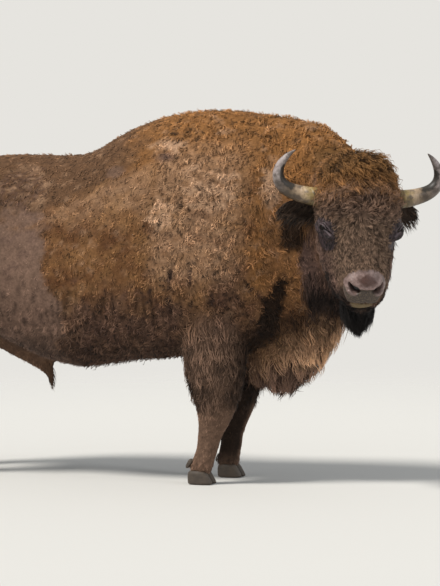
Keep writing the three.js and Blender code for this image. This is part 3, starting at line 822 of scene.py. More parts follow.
def pelt_colour(tree, palette):
    """Hair colour at a point: the zones' own colours, then each lock's tone, then root to tip: painted shade
    at the root and lighter tips, partly sun-bleached and partly painted light.
    """
    trunk, front, strand = (
        add(tree, "Attribute", attribute_name=name) for name in ("markings", "patches", "strand")
    )
    rust, loin, dark = add(tree, "SeparateColor", {0: trunk}).outputs
    tan, olive, face = add(tree, "SeparateColor", {0: front}).outputs
    tone, along, flank = add(tree, "SeparateColor", {0: strand}).outputs

    place = add(tree, "TexCoord").outputs["Object"]
    mottle, grain, clump = (
        add(tree, "TexNoise", {"Vector": place, "Scale": SCALE[name], "Detail": detail, "Roughness": rough})
        for name, detail, rough in (("mottle", 3.0, 0.55), ("grain", 2.0, 0.6), ("clumps", 2.0, 0.5))
    )
    layers = (
        ("barrel_pale", add(tree, "MapRange", {0: mottle, 1: 0.34, 2: 0.68})),
        ("rust", rust),
        ("loin", loin),
        ("flank", flank),
        ("tan", tan),
        ("face", face),
        ("mop", front.outputs["Alpha"]),
        ("olive", olive),
        ("leg", strand.outputs["Alpha"]),
        ("dark", dark),
        ("black", trunk.outputs["Alpha"]),
    )
    shades = [(share, (*getattr(palette, name), 1)) for name, share in layers]
    colour = painted(tree, (*palette.barrel, 1), shades)

    # A lock's tone: partly random, partly painted light on crests and painted shade between them.
    tone = add(tree, "MapRange", {0: tone, 3: 0.26, 4: 1.92})
    # Painted shade at the roots, lightening towards the tips as painted light and some sun-bleach.
    along = add(tree, "MapRange", {0: along, 3: 0.22, 4: 1.52})
    speckle = add(tree, "MapRange", {0: grain, 1: 0.3, 2: 0.7, 3: 0.78, 4: 1.22})
    blotch = add(tree, "MapRange", {0: clump, 1: 0.34, 2: 0.66, 3: 0.85, 4: 1.15})
    speckle = add(tree, "Math", {0: speckle, 1: blotch}, operation="MULTIPLY")
    light = add(tree, "Math", {0: tone, 1: along}, operation="MULTIPLY")
    light = add(tree, "Math", {0: light, 1: speckle}, operation="MULTIPLY")
    return add(tree, "VectorMath", {0: colour, "Scale": light}, operation="SCALE")


def hair_material(palette):
    """Wisent hair, keratin: mostly matt, with a soft bloom where many fine ends catch the light."""
    made, tree, shader = new_material("wisent_hair", Roughness=0.70, Specular_IOR_Level=0.16,
                                      Sheen_Weight=0.04, Sheen_Roughness=0.5)
    wire(tree, shader, {"Base Color": pelt_colour(tree, palette)})
    return made


def underfur_material(palette):
    """The hide under the tufts: dense short wool with the coat's own colours, in shade."""
    made, tree, shader = new_material("wisent_underfur", Roughness=0.85, Specular_IOR_Level=0.12)
    place = add(tree, "TexCoord").outputs["Object"]
    wool = add(tree, "TexNoise", {"Vector": place, "Scale": SCALE["wool"], "Detail": 4.0, "Roughness": 0.65})
    bump = add(tree, "Bump", {"Height": wool, "Strength": 0.6, "Distance": 4 * MM})
    wire(tree, shader, {"Base Color": pelt_colour(tree, palette), "Normal": bump})
    return made


def hollow(h):
    """1 in the bare hollow round each eye."""
    return blob(one_side(h), (170, 160, 12), (110, 75, 98))


def hollow_material():
    """Bare skin round the eye: dark purplish grey with fine folds that run down the cheek, painted near
    black in their creases as shade, with painted highlights along the lids' edges.
    """
    made, tree, shader = new_material("eye_hollow_skin", Roughness=0.60, Specular_IOR_Level=0.28)
    place = add(tree, "TexCoord").outputs["Object"]
    a, l, u = (
        add(tree, "VectorMath", {0: place, 1: tuple(axis)}, operation="DOT_PRODUCT").outputs["Value"]
        for axis in HEAD_AXES.T
    )
    long = add(tree, "Math", {0: a, 1: 0.28}, operation="MULTIPLY")
    drawn = add(tree, "CombineXYZ", {0: long, 1: l, 2: u})
    folds = {"Vector": drawn, "Scale": SCALE["folds"], "Detail": 3.0, "Roughness": 0.6}
    folds = add(tree, "TexNoise", folds)
    pores = add(tree, "TexNoise", {"Vector": place, "Scale": SCALE["pores"], "Detail": 2.0})
    lids_share = add(tree, "Attribute", attribute_name="markings").outputs["Alpha"]
    lid_highlight = add(tree, "Attribute", attribute_name="painted_lid_highlights").outputs["Fac"]
    # The folds' noise darkens the skin to near black where it sinks: painted shade in the creases.
    colour = painted(tree, "0d0808", (
        (add(tree, "MapRange", {0: folds, 1: 0.42, 2: 0.60}), "46383a"),
        (add(tree, "MapRange", {0: lids_share, 1: 0.75, 4: 0.85}), "080505"),
        # Painted highlights on the lids' edges.
        (add(tree, "Math", {0: lid_highlight, 1: 0.42}, operation="MULTIPLY"), "9c8b8e"),
    ))
    height = add(tree, "Math", {0: pores, 1: 0.25, 2: folds}, operation="MULTIPLY_ADD")
    bump = add(tree, "Bump", {"Height": height, "Strength": 0.7, "Distance": 3 * MM})
    wire(tree, shader, {"Base Color": colour, "Normal": bump})
    return made


def nose_material():
    """Bare nose skin: fine cobbles, moist, pinkish grey with a brown patch; the lips are drier and olive,
    and the nostrils are painted near black as shade.
    """
    made, tree, shader = new_material("wet_nose_skin", Specular_IOR_Level=0.45)
    place = add(tree, "TexCoord").outputs["Object"]
    parts = add(tree, "Attribute", attribute_name="muzzle")
    _, brown, upper = add(tree, "SeparateColor", {0: parts}).outputs
    nostril = add(tree, "Attribute", attribute_name="nostril").outputs["Fac"]
    blotch = add(tree, "TexNoise", {
        "Vector": place, "Scale": SCALE["skin blotches"], "Detail": 5.0, "Roughness": 0.65
    })
    spots = add(tree, "TexNoise", {"Vector": place, "Scale": SCALE["spots"], "Detail": 2.0})
    patch = add(tree, "MapRange", {0: blotch, 1: 0.3, 2: 0.55, 3: 0.75, 4: 1.1})
    speckle = add(tree, "MapRange", {0: spots, 1: 0.48, 2: 0.72, 4: 0.4})
    colour = painted(tree, "66504a", (
        (add(tree, "MapRange", {0: blotch, 1: 0.35, 2: 0.65}), "988079"),
        (add(tree, "MapRange", {0: spots, 1: 0.56, 2: 0.68, 4: 0.7}), "54423b"),
        (add(tree, "Math", {0: brown, 1: patch}, operation="MULTIPLY", use_clamp=True), "4c3129"),
        (upper, "3f3228"),
        (add(tree, "Math", {0: upper, 1: speckle}, operation="MULTIPLY"), "7e6c57"),
        (parts.outputs["Alpha"], "66532f"),
        # Painted shade in the nostrils.
        (nostril, "0a0706"),
    ))
    shade = add(tree, "MapRange", {0: spots, 1: 0.3, 2: 0.7, 3: 0.78, 4: 1.18})
    cobbles = add(tree, "TexVoronoi", {"Vector": place, "Scale": SCALE["cobbles"]}, feature="F1")
    bump = {"Height": cobbles, "Strength": 0.5, "Distance": 1.6 * MM}
    wire(tree, shader, {
        "Base Color": add(tree, "VectorMath", {0: colour, "Scale": shade}, operation="SCALE"),
        "Roughness": add(tree, "MapRange", {0: cobbles, 3: 0.52, 4: 0.22}),
        "Normal": add(tree, "Bump", bump, invert=True),
    })
    return made


def bare_skin(voxel):
    """The skin in its finished shape, set in under the coat, with the zones' shares at its points."""
    mesh = fused(SKIN_NODES, voxel)
    mesh.name = SKIN
    move_points(mesh, relaxed(points_of(mesh), edges_of(mesh), 6))
    for part in (on_head, on_face, on_features):
        refine(mesh, part)
    points, normals, edges = points_of(mesh), normals_of(mesh), edges_of(mesh)
    shares = zone_shares(points)
    depth = depth_of_coat(points, shares) * hold_at_hooves(points)
    depth = np.minimum(depth, MOST_DEPTH * thickness(mesh, points, normals))
    depth = relaxed(np.repeat(depth[:, None], 3, 1), edges, 3)[:, 0]
    points = relaxed(points - normals * depth[:, None], edges, 2)
    cuff = CUFF_OUT * step(*CUFF, points[:, 2])
    points = points - normals * (FOLD_DEPTH * folded(points) - cuff)[:, None]
    points[:, 2] -= CUFF_DOWN * step(*CUFF, points[:, 2])
    move_points(mesh, points)
    sculpt_head(mesh)
    shares = join_ears(mesh, shares)
    mesh.shade_smooth()
    return mesh, shares


def paint_skin(mesh, shares):
    """Stores what the skin's materials read, and gives each face its material."""
    points, normals = points_of(mesh), normals_of(mesh)
    h = in_head(points)
    one = np.ones(len(h))
    marks, patches, flank, leg = markings(points, normals, shares)
    store(mesh, "markings", marks)
    store(mesh, "patches", patches)
    # The skin takes a tuft's tone a third of the way out from its root: the roots' painted shade.
    store(mesh, "strand", np.stack([0.5 * one, 0.35 * one, flank, leg], 1))
    parts = muzzle_parts(h, shares)
    store(mesh, "muzzle", parts)
    # The nostrils are painted near black: painted shade inside them.
    holes = [nostril_places(h, side)[0] for side in SIDES]
    store(mesh, "nostril", step(0.10, 0.40, np.maximum(*holes)))
    # Painted highlights: pale lines along the lids' edges and along the ridge below the tear crease.
    lid_highlight = np.zeros(len(h))
    for side in SIDES:
        s, t, height = eye_places(h, side)
        below = bell(t + TEAR_SLOPE * (s - 19) + 9, 6) * step(8, 16, s) * step(52, 40, s)
        above = bell(slit(s, t) - 3.5, 3) * (t > -6) + 0.7 * bell(slit(s, t) - 13, 3) * (t > 0)
        lid_highlight = np.maximum(lid_highlight, np.maximum(above, below) * (height > -20))
    store(mesh, "painted_lid_highlights", lid_highlight)
    bare = bare_of(parts)
    sunk = hollow(h) * shares[:, ZONE["head"]]
    for polygon in mesh.polygons:
        corners = list(polygon.vertices)
        polygon.material_index = 1 if bare[corners].mean() > 0.5 else 2 * int(sunk[corners].mean() > 0.12)


# ---------------------------------------------------------------- lie of the coat

WHORL = (118, 0)  # where the face's hair parts, a and l in the head's frame


def lie_of_coat(points, normals, shares):
    """The way the hair points, along the skin."""
    z = from_ground(points)[:, 2]
    h = in_head(points)
    a, l, u = h.T
    at = by_zone(shares[:, :, None])
    down = np.array((0.0, 0, -1))
    one, none = np.ones(len(z)), np.zeros(len(z))
    trunk = np.stack([-one, none, -0.35 - 0.9 * step(1.30, 0.75, z)], 1)
    forward = np.stack([-0.9 * one, none, -0.30 - 1.1 * step(1.25, 0.8, z)], 1)
    neck = np.stack([0.10 - 0.8 * step(1.35, 1.6, z) - 0.5 * ruff(h), none, -one], 1)
    fan = unit(np.stack([a - WHORL[0] + 40 * step(150, 320, a), l - WHORL[1], -0.3 * np.abs(l)], 1))
    mop = unit(np.stack([0.9 * one, 0.35 * l / 100, 0.2 * one], 1))
    share = (step(40, -30, a) * step(20, 80, u))[:, None]
    head = unit((fan * (1 - share) + mop * share) @ HEAD_AXES.T)
    throat = step(-50, -130, u)[:, None]
    head = head * (1 - throat) + unit(np.array((-0.25, 0, -1.0))) * throat
    ears = np.sign(l)[:, None] * HEAD_AXES[:, 1] + 0.5 * down
    lie = (
        (at["hindquarters"] + at["barrel"]) * unit(trunk)
        + at["forequarters"] * unit(forward)
        + at["neck"] * unit(neck)
        + (at["head"] + at["nose"]) * head
        + (at["upper_legs"] + at["lower_legs"]) * unit(np.array((-0.30, 0, -1.0)))
        + (at["beard"] + at["mane"] + at["tail"] + at["tail_tuft"] + at["scrotum"]) * down
        + at["sheath"] * unit(np.array((0.5, 0, -1.0)))
        + at["ears"] * unit(ears)
    )
    lie += 1e-4  # so that no hair is left without a way to point
    return unit(lie - normals * (lie * normals).sum(1, keepdims=True))


# ---------------------------------------------------------------- coat


class Hide:
    """The skin's triangles with what each tuft reads at its root."""

    def __init__(self, skin):
        mesh = skin.data
        mesh.calc_loop_triangles()
        self.corners = fetched(mesh.loop_triangles, "vertices", 3, np.int32)
        loops = fetched(mesh.loop_triangles, "loops", 3, np.int32)
        self.uv = fetched(mesh.uv_layers["OFBake"].data, "uv", 2)[loops]
        self.points = points_of(mesh)
        self.normals = normals_of(mesh)
        a, b, c = (self.points[self.corners[:, k]] for k in range(3))
        self.area = np.linalg.norm(np.cross(b - a, c - a), axis=1) / 2
        self.values = {"point": self.points, "normal": self.normals}

    def centre(self, values):
        return values[self.corners].mean(axis=1)

    def roots(self, weight, count, rng):
        """count roots spread evenly by area times weight, as triangle numbers and corner shares."""
        size = np.cumsum(self.area * weight)
        picks = (np.arange(count) + rng.random(count)) / count * size[-1]
        triangle = np.searchsorted(size, picks).clip(0, len(size) - 1)
        a, b = rng.random((2, count))
        fold = a + b > 1
        a, b = np.where(fold, 1 - a, a), np.where(fold, 1 - b, b)
        return triangle, np.stack([1 - a - b, a, b], 1)

    def read(self, name, triangle, share):
        values = self.values[name][self.corners[triangle]]
        share = share if values.ndim == 2 else share[:, :, None]
        return (values * share).sum(1)

    def read_uv(self, triangle, share):
        return (self.uv[triangle] * share[:, :, None]).sum(1)


PATCH = 0.003  # how wide a tuft's own patch of the unwrap is


def lock_faces(count, rings):
    """The triangles of many locks: a closed root, three-sided rings and a point."""
    each = rings * 3 + 1
    faces = [(0, 2, 1)]
    for k in range(rings - 1):
        for j in range(3):
            a, b = k * 3 + j, k * 3 + (j + 1) % 3
            faces += [(a, b, b + 3), (a, b + 3, a + 3)]
    last = (rings - 1) * 3
    faces += [(last + j, last + (j + 1) % 3, each - 1) for j in range(3)]
    return (np.array(faces)[None] + (np.arange(count) * each)[:, None, None]).reshape(-1, 3)


def triangle_mesh(name, corners, faces):
    """A smooth mesh of triangles, made in one go."""
    mesh = bpy.data.meshes.new(name)
    mesh.vertices.add(corners.size // 3)
    mesh.vertices.foreach_set("co", corners.astype(np.float32).ravel())
    mesh.loops.add(faces.size)
    mesh.loops.foreach_set("vertex_index", faces.astype(np.int32).ravel())
    mesh.polygons.add(len(faces))
    mesh.polygons.foreach_set("loop_start", np.arange(0, faces.size, 3, dtype=np.int32))
    mesh.polygons.foreach_set("use_smooth", np.ones(len(faces), bool))
    mesh.update(calc_edges=True)
    return mesh


def spikes(name, roots, rings, material):
    """Joins many tapered three-sided locks into one solid mesh. roots holds one row per lock."""
    count = len(roots["point"])
    point, normal, lie = roots["point"], roots["normal"], roots["lie"]
    across = unit(np.cross(normal, lie))
    length, width, lift, curl, phase, turns, droop = (
        roots[key][:, None, None] for key in ("length", "width", "lift", "curl", "phase", "turns", "droop")
    )
    t = np.linspace(0, 1, rings + 1)[None, :, None]
    swing = np.sin(2 * math.pi * turns * t + phase) - np.sin(phase)
    bob = np.cos(2 * math.pi * turns * t + phase) - np.cos(phase)
    path = (
        lie[:, None] * (t * (1 - 0.30 * lift * t))
        + normal[:, None] * (lift * t * (1.25 - 0.85 * t) + 0.5 * curl * bob)
        + across[:, None] * (curl * swing)
    )
    path = path + np.array((0.0, 0, -1)) * droop * t ** 1.6
    path = path + roots["gather"][:, None] / length * (0.8 * t ** 1.4)
    centre = point[:, None] - normal[:, None] * 2 * MM + path * length
    tangent = unit(np.gradient(centre, axis=1))
    sideways = unit(across[:, None] - tangent * (tangent * across[:, None]).sum(2, keepdims=True))
    upward = np.cross(tangent, sideways)
    upward = upward * np.sign((upward * normal[:, None]).sum(2, keepdims=True) + 1e-6)

    shape = (0.72 + 1.1 * t) * (1 - t) ** 0.85
    half = width * 0.5 * shape
    turn = np.radians((90.0, 210.0, 330.0))
    spin = np.cos(turn)[None, None, :, None] * sideways[:, :-1, None] * half[:, :-1, None]
    rise = np.sin(turn)[None, None, :, None] * upward[:, :-1, None] * half[:, :-1, None] * 0.6
    ring = centre[:, :-1, None] + spin + rise
    corners = np.concatenate([ring.reshape(count, rings * 3, 3), centre[:, -1:]], 1)
    each = rings * 3 + 1

    faces = lock_faces(count, rings)
    # The rings run against the lie, so a lock whose frame is left-handed is turned the right way out.
    flip = (np.cross(sideways[:, 0], upward[:, 0]) * tangent[:, 0]).sum(1) < 0
    turned = np.repeat(flip, len(faces) // count)
    faces[turned] = faces[turned][:, ::-1]

    mesh = triangle_mesh(name, corners, faces)
    along = np.concatenate([np.repeat(t[0, :-1, 0], 3), [1.0]])
    sway = np.concatenate([np.tile(np.cos(turn), rings), [0.0]])
    uv = roots["uv"][:, None] + PATCH / 2 * np.stack([sway, 2 * along - 1], 1)[None] * 0.9
    layer = mesh.uv_layers.new(name="OFBake")
    layer.data.foreach_set("uv", uv.reshape(-1, 2)[faces.ravel()].astype(np.float32).ravel())
    for attribute in ("markings", "patches"):
        store(mesh, attribute, np.repeat(roots[attribute], each, axis=0))
    tone = np.repeat(roots["tone"], each)
    flank, leg = (np.repeat(roots[key], each) for key in ("flank", "leg"))
    store(mesh, "strand", np.stack([tone, np.tile(along, count), flank, leg], 1))

    ring_normal = unit(spin + rise).reshape(count, rings * 3, 3)
    soft = np.concatenate([ring_normal, upward[:, -1:]], 1) + 0.8 * normal[:, None]
    mesh.normals_split_custom_set_from_vertices(unit(soft).reshape(-1, 3).tolist())
    mesh.materials.append(material)
    return new_piece(name, mesh)


def gathered(roots, spacing, rng):
    """Pulls each tuft towards the tip of a lock that its neighbours share, and gives the lock one tone."""
    count = len(roots["point"])
    leaders = rng.choice(count, max(1, int(count / spacing)), replace=False)
    tree = KDTree(len(leaders))
    for order, leader in enumerate(leaders):
        tree.insert(roots["point"][leader], order)
    tree.balance()
    chosen = np.array([tree.find(p)[1] for p in roots["point"]])
    leader = leaders[chosen]
    pull = roots["point"][leader] - roots["point"]
    pull = pull - roots["normal"] * (pull * roots["normal"]).sum(1, keepdims=True)
    reach = np.maximum(np.linalg.norm(pull, axis=1), 1e-9)
    most = np.where(spacing > 20, 0.9, 0.6)
    roots["gather"] = pull * np.minimum(1, most * roots["length"] / reach)[:, None]
    bow = rng.uniform(0, 2 * math.pi, len(leaders))[chosen]
    tone = 0.82 * roots["tone"][leader] + 0.18 * roots["tone"]
    roots["tone"] = np.clip(0.5 + 1.4 * (tone - 0.5), 0, 1)
    roots["phase"] = bow + 0.5 * roots["phase"] / math.pi
    return roots


def crest_light_and_shade(points):
    """How light the tufts are painted, from 0 to 1: lighter on the wavy crests of the shoulder and the
    upright folds behind it, darker between them, as painted light and shade.
    """
    x, _, z = from_ground(points).T
    crests = waves(points * (0.55, 1, 1.7), 0.050, 41)
    uprights = waves(points * (1, 1, 0.20), 0.042, 42)
    upright = step(1.12, 0.98, z) * step(0.04, -0.06, x) * step(-0.40, -0.30, x)
    upright = np.maximum(upright, step(0.98, 0.84, z) * step(0.05, -0.05, x))
    return 0.5 + 0.5 * (crests * (1 - upright) + 1.8 * uprights * upright)


ROOT_FIELDS = (
    "point", "normal", "lie", "markings", "patches", "flank", "leg",
    "length", "width", "lift", "curl", "drift",
)


def tufts_at(hide, weight, count, rng, turns, per_lock, jitter=0.35):
    """Everything that spikes() needs for count tufts spread over the hide by weight."""
    triangle, share = hide.roots(weight, count, rng)
    roots = {key: hide.read(key, triangle, share) for key in ROOT_FIELDS}
    roots["normal"] = unit(roots["normal"])
    roots["uv"] = hide.read_uv(triangle, share)
    across = np.cross(roots["normal"], roots["lie"])
    angle = roots["drift"] + rng.normal(0, jitter, count) * 0.6
    lie = roots["lie"] * np.cos(angle)[:, None] + across * np.sin(angle)[:, None]
    roots["lie"] = unit(lie - roots["normal"] * (lie * roots["normal"]).sum(1, keepdims=True))
    roots["length"] = roots["length"] * rng.uniform(0.65, 1.25, count) * MM
    roots["width"] = roots["width"] * rng.uniform(0.75, 1.25, count) * MM
    roots["lift"] = roots["lift"] * rng.uniform(0.5, 1.4, count)
    roots["curl"] = roots["curl"] * rng.uniform(0.5, 1.5, count)
    roots["phase"] = rng.uniform(0, 2 * math.pi, count)
    roots["turns"] = turns * rng.uniform(0.8, 1.2, count)
    roots["droop"] = np.zeros(count)
    # Off the head a tuft's tone follows the crests: painted light on them and painted shade between them;
    # the crests' tufts also stand higher and grow longer.
    light = crest_light_and_shade(roots["point"])
    a, l, u = in_head(roots["point"]).T
    ordered = 0.55 - 0.45 * ((np.abs(l) < 255) & (a > 60) & (u > -420))
    roots["lift"] = roots["lift"] * (0.6 + 0.8 * light)
    roots["length"] = roots["length"] * (0.8 + 0.4 * light)
    roots["tone"] = np.clip((1 - ordered) * rng.random(count) + ordered * light, 0, 1)
    return gathered(roots, per_lock, rng)


def long_locks(hide, weight, kind, envelope, rng):
    """The same for long hair, which hangs and ends where the solids do."""
    roots = tufts_at(hide, weight, kind["count"], rng, kind["turns"], kind["strand"], 0.25)
    count = len(roots["point"])
    for key in ("length", "width"):
        roots[key] = kind[key] * rng.uniform(0.6, 1.2, count) * MM
    for key in ("lift", "curl", "droop"):
        roots[key] = kind[key] * rng.uniform(0.6, 1.4, count)
    way = roots["lie"] * 0.8 + roots["normal"] * (0.4 * roots["lift"])[:, None]
    way = unit(way + np.array((0.0, 0, -1)) * roots["droop"][:, None])
    start = roots["point"] + roots["normal"] * 2 * MM
    reach, least = 0.25, 6 * MM
    room = [envelope.ray_cast(Vector(p), Vector(w), reach)[3] or 0.0 for p, w in zip(start, way)]
    room = np.array(room) + kind["past"] * MM * rng.uniform(0.3, 1, count)
    roots["length"] = np.maximum(np.minimum(roots["length"], room), least)
    return roots


def hair_fields(hide, shares):
    """Length, width, lift, curl and drift of the hair at each point of the skin."""
    points = hide.points
    z = from_ground(points)[:, 2]
    h = in_head(points)
    a, l, u = h.T
    at = by_zone(shares)
    head, trunk = at["head"], at["barrel"] + at["hindquarters"]
    mop = head * step(150, -50, a) * step(10, 80, u)
    brow = head * step(230, 90, a) * step(40, 90, u) * (1 - mop)
    throat = head * step(-40, -130, u)
    muzzle = head * step(330, 430, a) * (1 - throat)
    eyes = head * np.maximum(bell(np.hypot(a - 160, u - 38), 60) * (np.abs(l) > 90), hollow(h))
    horn = head * blob(one_side(h), (15, 180, 30), (70, 80, 70))
    cheeks = at["neck"] * ruff(h)
    short = moulted(points) * trunk
    # Where the hair differs from its zone's: the share, then what it adds to length, width, lift and curl.
    changes = (
        (mop, 26, 1.6, 0.06, 0.02),
        (brow, 3, 0.8, 0.12, 0.14),
        (throat, 18, 0.8, 0, 0),
        (cheeks, -3, -1.4, -0.10, -0.06),
        (muzzle, -11, -1.2, -0.12, -0.12),
        (eyes, -15, -1.4, -0.30, -0.2),
        (horn, 10, 0, 0.15, 0),
        (short, 2, -1.4, -0.26, -0.18),
        (at["upper_legs"] * step(0.60, 0.80, z), 0, 0, 0, 0.16),
        (at["lower_legs"] * step(0.30, 0.50, z), 14, 0, 0, 0),
        (at["lower_legs"] * step(0.13, 0.08, z), 12, 0, 0.15, 0),
        (trunk * step(0.92, 0.72, z), 14, 0, 0.10, 0),
    )
    values = {}
    for row, (key, least) in enumerate({"length": 4, "width": 1.5, "lift": 0.08, "curl": 0}.items(), 1):
        total = shares @ HAIR[key] + sum(change[0] * change[row] for change in changes)
        values[key] = np.maximum(total, least)
    wild = 0.9 * at["forequarters"] + 0.8 * at["neck"] * (1 - cheeks) + 0.45 * trunk
    wild = wild * (1 - 0.8 * short) + 0.5 * brow + 0.4 * head
    values["drift"] = wild * (0.9 * waves(points, 0.10, 21) + 0.6 * waves(points, 0.04, 22))
    return values


# Short coat, by area: tufts a side, rings a tuft, curl turns and tufts that share a lock.
SHORT_COAT = {
    "hindquarters": (5500, 2, 0.4, 4),
    "flank": (10500, 1, 0.3, 5),
    "barrel": (10000, 2, 0.5, 3),
    "forequarters": (10500, 2, 0.7, 5),
    "neck": (6000, 2, 0.7, 6),
    "face": (11500, 2, 0.5, 4),
    "mop": (2800, 3, 0.7, 6),
    "upper_legs": (4400, 2, 0.5, 8),
    "lower_legs": (7000, 1, 0.3, 6),
    "ears": (1500, 1, 0.3, 4),
    "mane": (1700, 3, 0.6, 6),
}

# Long hair: locks in all, length and width in millimetres, then lift, curl and droop as shares of the
# length, curl turns, locks that share a strand, and how far in millimetres tips may pass the solids.
LONG_COAT = {
    "beard": (1900, 110, 5.0, 0.30, 0.06, 0.6, 1.0, 9, 22),
    "cheeks": (1700, 58, 4.2, 0.25, 0.12, 0.5, 0.9, 5, 12),
    "mane": (2300, 82, 6.0, 0.42, 0.16, 0.6, 1.0, 30, 20),
    "chaps": (1800, 66, 5.5, 0.40, 0.16, 0.5, 0.8, 9, 10),
    "ears": (1300, 58, 5.5, 0.30, 0.08, 0.5, 0.6, 3, 10),
    "tail": (700, 170, 6.0, 0.10, 0.04, 0.6, 1.2, 9, 12),
    "belly": (1300, 46, 4.5, 0.30, 0.10, 0.5, 0.7, 7, 10),
}
LONG_KEYS = ("count", "length", "width", "lift", "curl", "droop", "turns", "strand", "past")
LOCK_RINGS = 4
LEAST_GROWTH = 0.05  # long hair keeps off faces where it would be sparser than this
ENVELOPE_VOXEL = 0.012  # the cell of the fused solids that long hair ends in


def area_of_faces(centre, shares, flank):
    """Names the area of the short coat that each triangle belongs to."""
    a, _, u = in_head(centre).T
    kin = {
        "tail": "hindquarters", "tail_tuft": "hindquarters", "scrotum": "hindquarters", "sheath": "barrel",
        "head": "face", "nose": "face", "beard": "mane",
    }
    area = np.array([kin.get(name, name) for name in ZONE], dtype="<U16")[shares.argmax(1)]
    area[(flank > 0.5) & np.isin(area, ("barrel", "hindquarters"))] = "flank"
    area[(area == "face") & (a < 80) & (u > 20)] = "mop"
    return area


def long_growth(points, normals, shares):
    """How densely each kind of long hair grows at each point."""
    x, y, z = from_ground(points).T
    h = in_head(points)
    a, _, u = h.T
    at = by_zone(shares)
    outer = step(-0.2, 0.5, normals[:, 1] * np.sign(y))
    back = step(0.3, -0.4, normals[:, 0])
    chin = at["head"] * step(-70, -105, u) * step(300, 380, a)
    jaw = at["head"] * step(-50, -110, u) * step(300, 360, a) * step(460, 400, a)
    chaps = (at["upper_legs"] + 0.5 * at["lower_legs"]) * (x > -0.4) * step(0.24, 0.44, z)
    hem = (at["barrel"] + at["forequarters"]) * step(0.70, 0.60, z) * step(0.0, -0.7, normals[:, 2])
    return {
        "beard": at["beard"] + 0.8 * chin,
        "cheeks": jaw + 0.8 * at["neck"] * ruff(h) * step(240, 330, a) * step(440, 400, a),
        "mane": at["mane"] * step(0.2, -0.3, normals[:, 2]) + 0.5 * at["neck"] * step(0.86, 0.76, z),
        "chaps": chaps * step(0.86, 0.70, z) * np.maximum(outer, back),
        "ears": at["ears"],
        "tail": at["tail_tuft"],
        "belly": 0.5 * (hem * (x < 0.05)) + at["sheath"] * step(0.60, 0.50, z),
    }


def growth_on_head(centre, bare):
    """How densely short hair grows: most near the muzzle, none on bare skin or on the eyes."""
    h = in_head(centre)
    density = 1 + 1.2 * step(250, 420, h[:, 0]) - 0.35 * step(60, -60, h[:, 0])
    density = density * (bare < 0.5)
    density = density * (1 - 0.97 * step(0.10, 0.30, hollow(h)))
    for side in SIDES:
        s, t, height = eye_places(h, side)
        density = density * ~((np.hypot(s / 24, (t - 1) / 14) < 1) & (height > -25))
    return density


def hide_of(skin):
    """The skin with the hair's fields, and its zones' shares."""
    hide = Hide(skin)
    shares = np.stack([numbers(skin.data, "zone_" + name) for name in ZONE], 1)
    hide.values.update(hair_fields(hide, shares))
    hide.values["lie"] = lie_of_coat(hide.points, hide.normals, shares)
    marks, patches, flank, leg = markings(hide.points, hide.normals, shares)
    hide.values.update({"markings": marks, "patches": patches, "flank": flank, "leg": leg})
    return hide, shares


# ---------------------------------------------------------------- horns, hooves and eyes


def smooth_copy(node, name, levels, material, shape=None):
    """A finer copy of a hard node: its triangles paired into quads, then shaped and subdivided."""
    bm = flesh_copy([node])
    bmesh.ops.join_triangles(bm, faces=bm.faces, angle_face_threshold=math.radians(50),
                             angle_shape_threshold=math.radians(60))
    mesh = new_mesh(name, bm)
    if shape:
        h = shape(in_head(points_of(mesh)))
        move_points(mesh, from_head(h))
        normals = normals_of(mesh)
        # Faces that turn down are marked for the horn's painted shade on its underside.
        store(mesh, "under", step(0.0, -0.8, normals[:, 2]))
        store(mesh, "bend", in_bend(h, normals))
    mesh.shade_smooth()
    mesh.materials.append(material)
    piece = new_piece(name, mesh, [node])
    subdivide = piece.modifiers.new("round", "SUBSURF")
    subdivide.levels = subdivide.render_levels = levels
    return piece


def rooted(h):
    """Draws a horn's root into the head, under the hair."""
    draw = 45 * step(215, 190, np.abs(h[:, 1] - HORN_LEAN))
    return h - np.outer(np.sign(h[:, 1]) * draw, (0, 1, 0))


def in_bend(h, normals):
    """How far each point of a horn lies on the hollow side of its bend."""
    facing = in_head(from_head(h) + MM * normals) - h
    facing[:, 1] *= np.sign(h[:, 1])
    inwards = np.array((-110, 275, 35)) - one_side(h)
    turned = (facing * inwards).sum(1) / np.linalg.norm(inwards, axis=1)
    return step(-0.5, 0.2, turned) * step(275, 315, np.abs(h[:, 1])) * step(-155, -115, h[:, 0])


# Colours along a horn, from where it leaves the head to its worn tip.
HORN_COLOURS = (
    (0.0, "a8925a"), (0.16, "9f8853"), (0.34, "b49b7f"), (0.52, "75624c"),
    (0.66, "7a6c62"), (0.80, "aa9d98"), (1.0, "b6a8a8"),
)


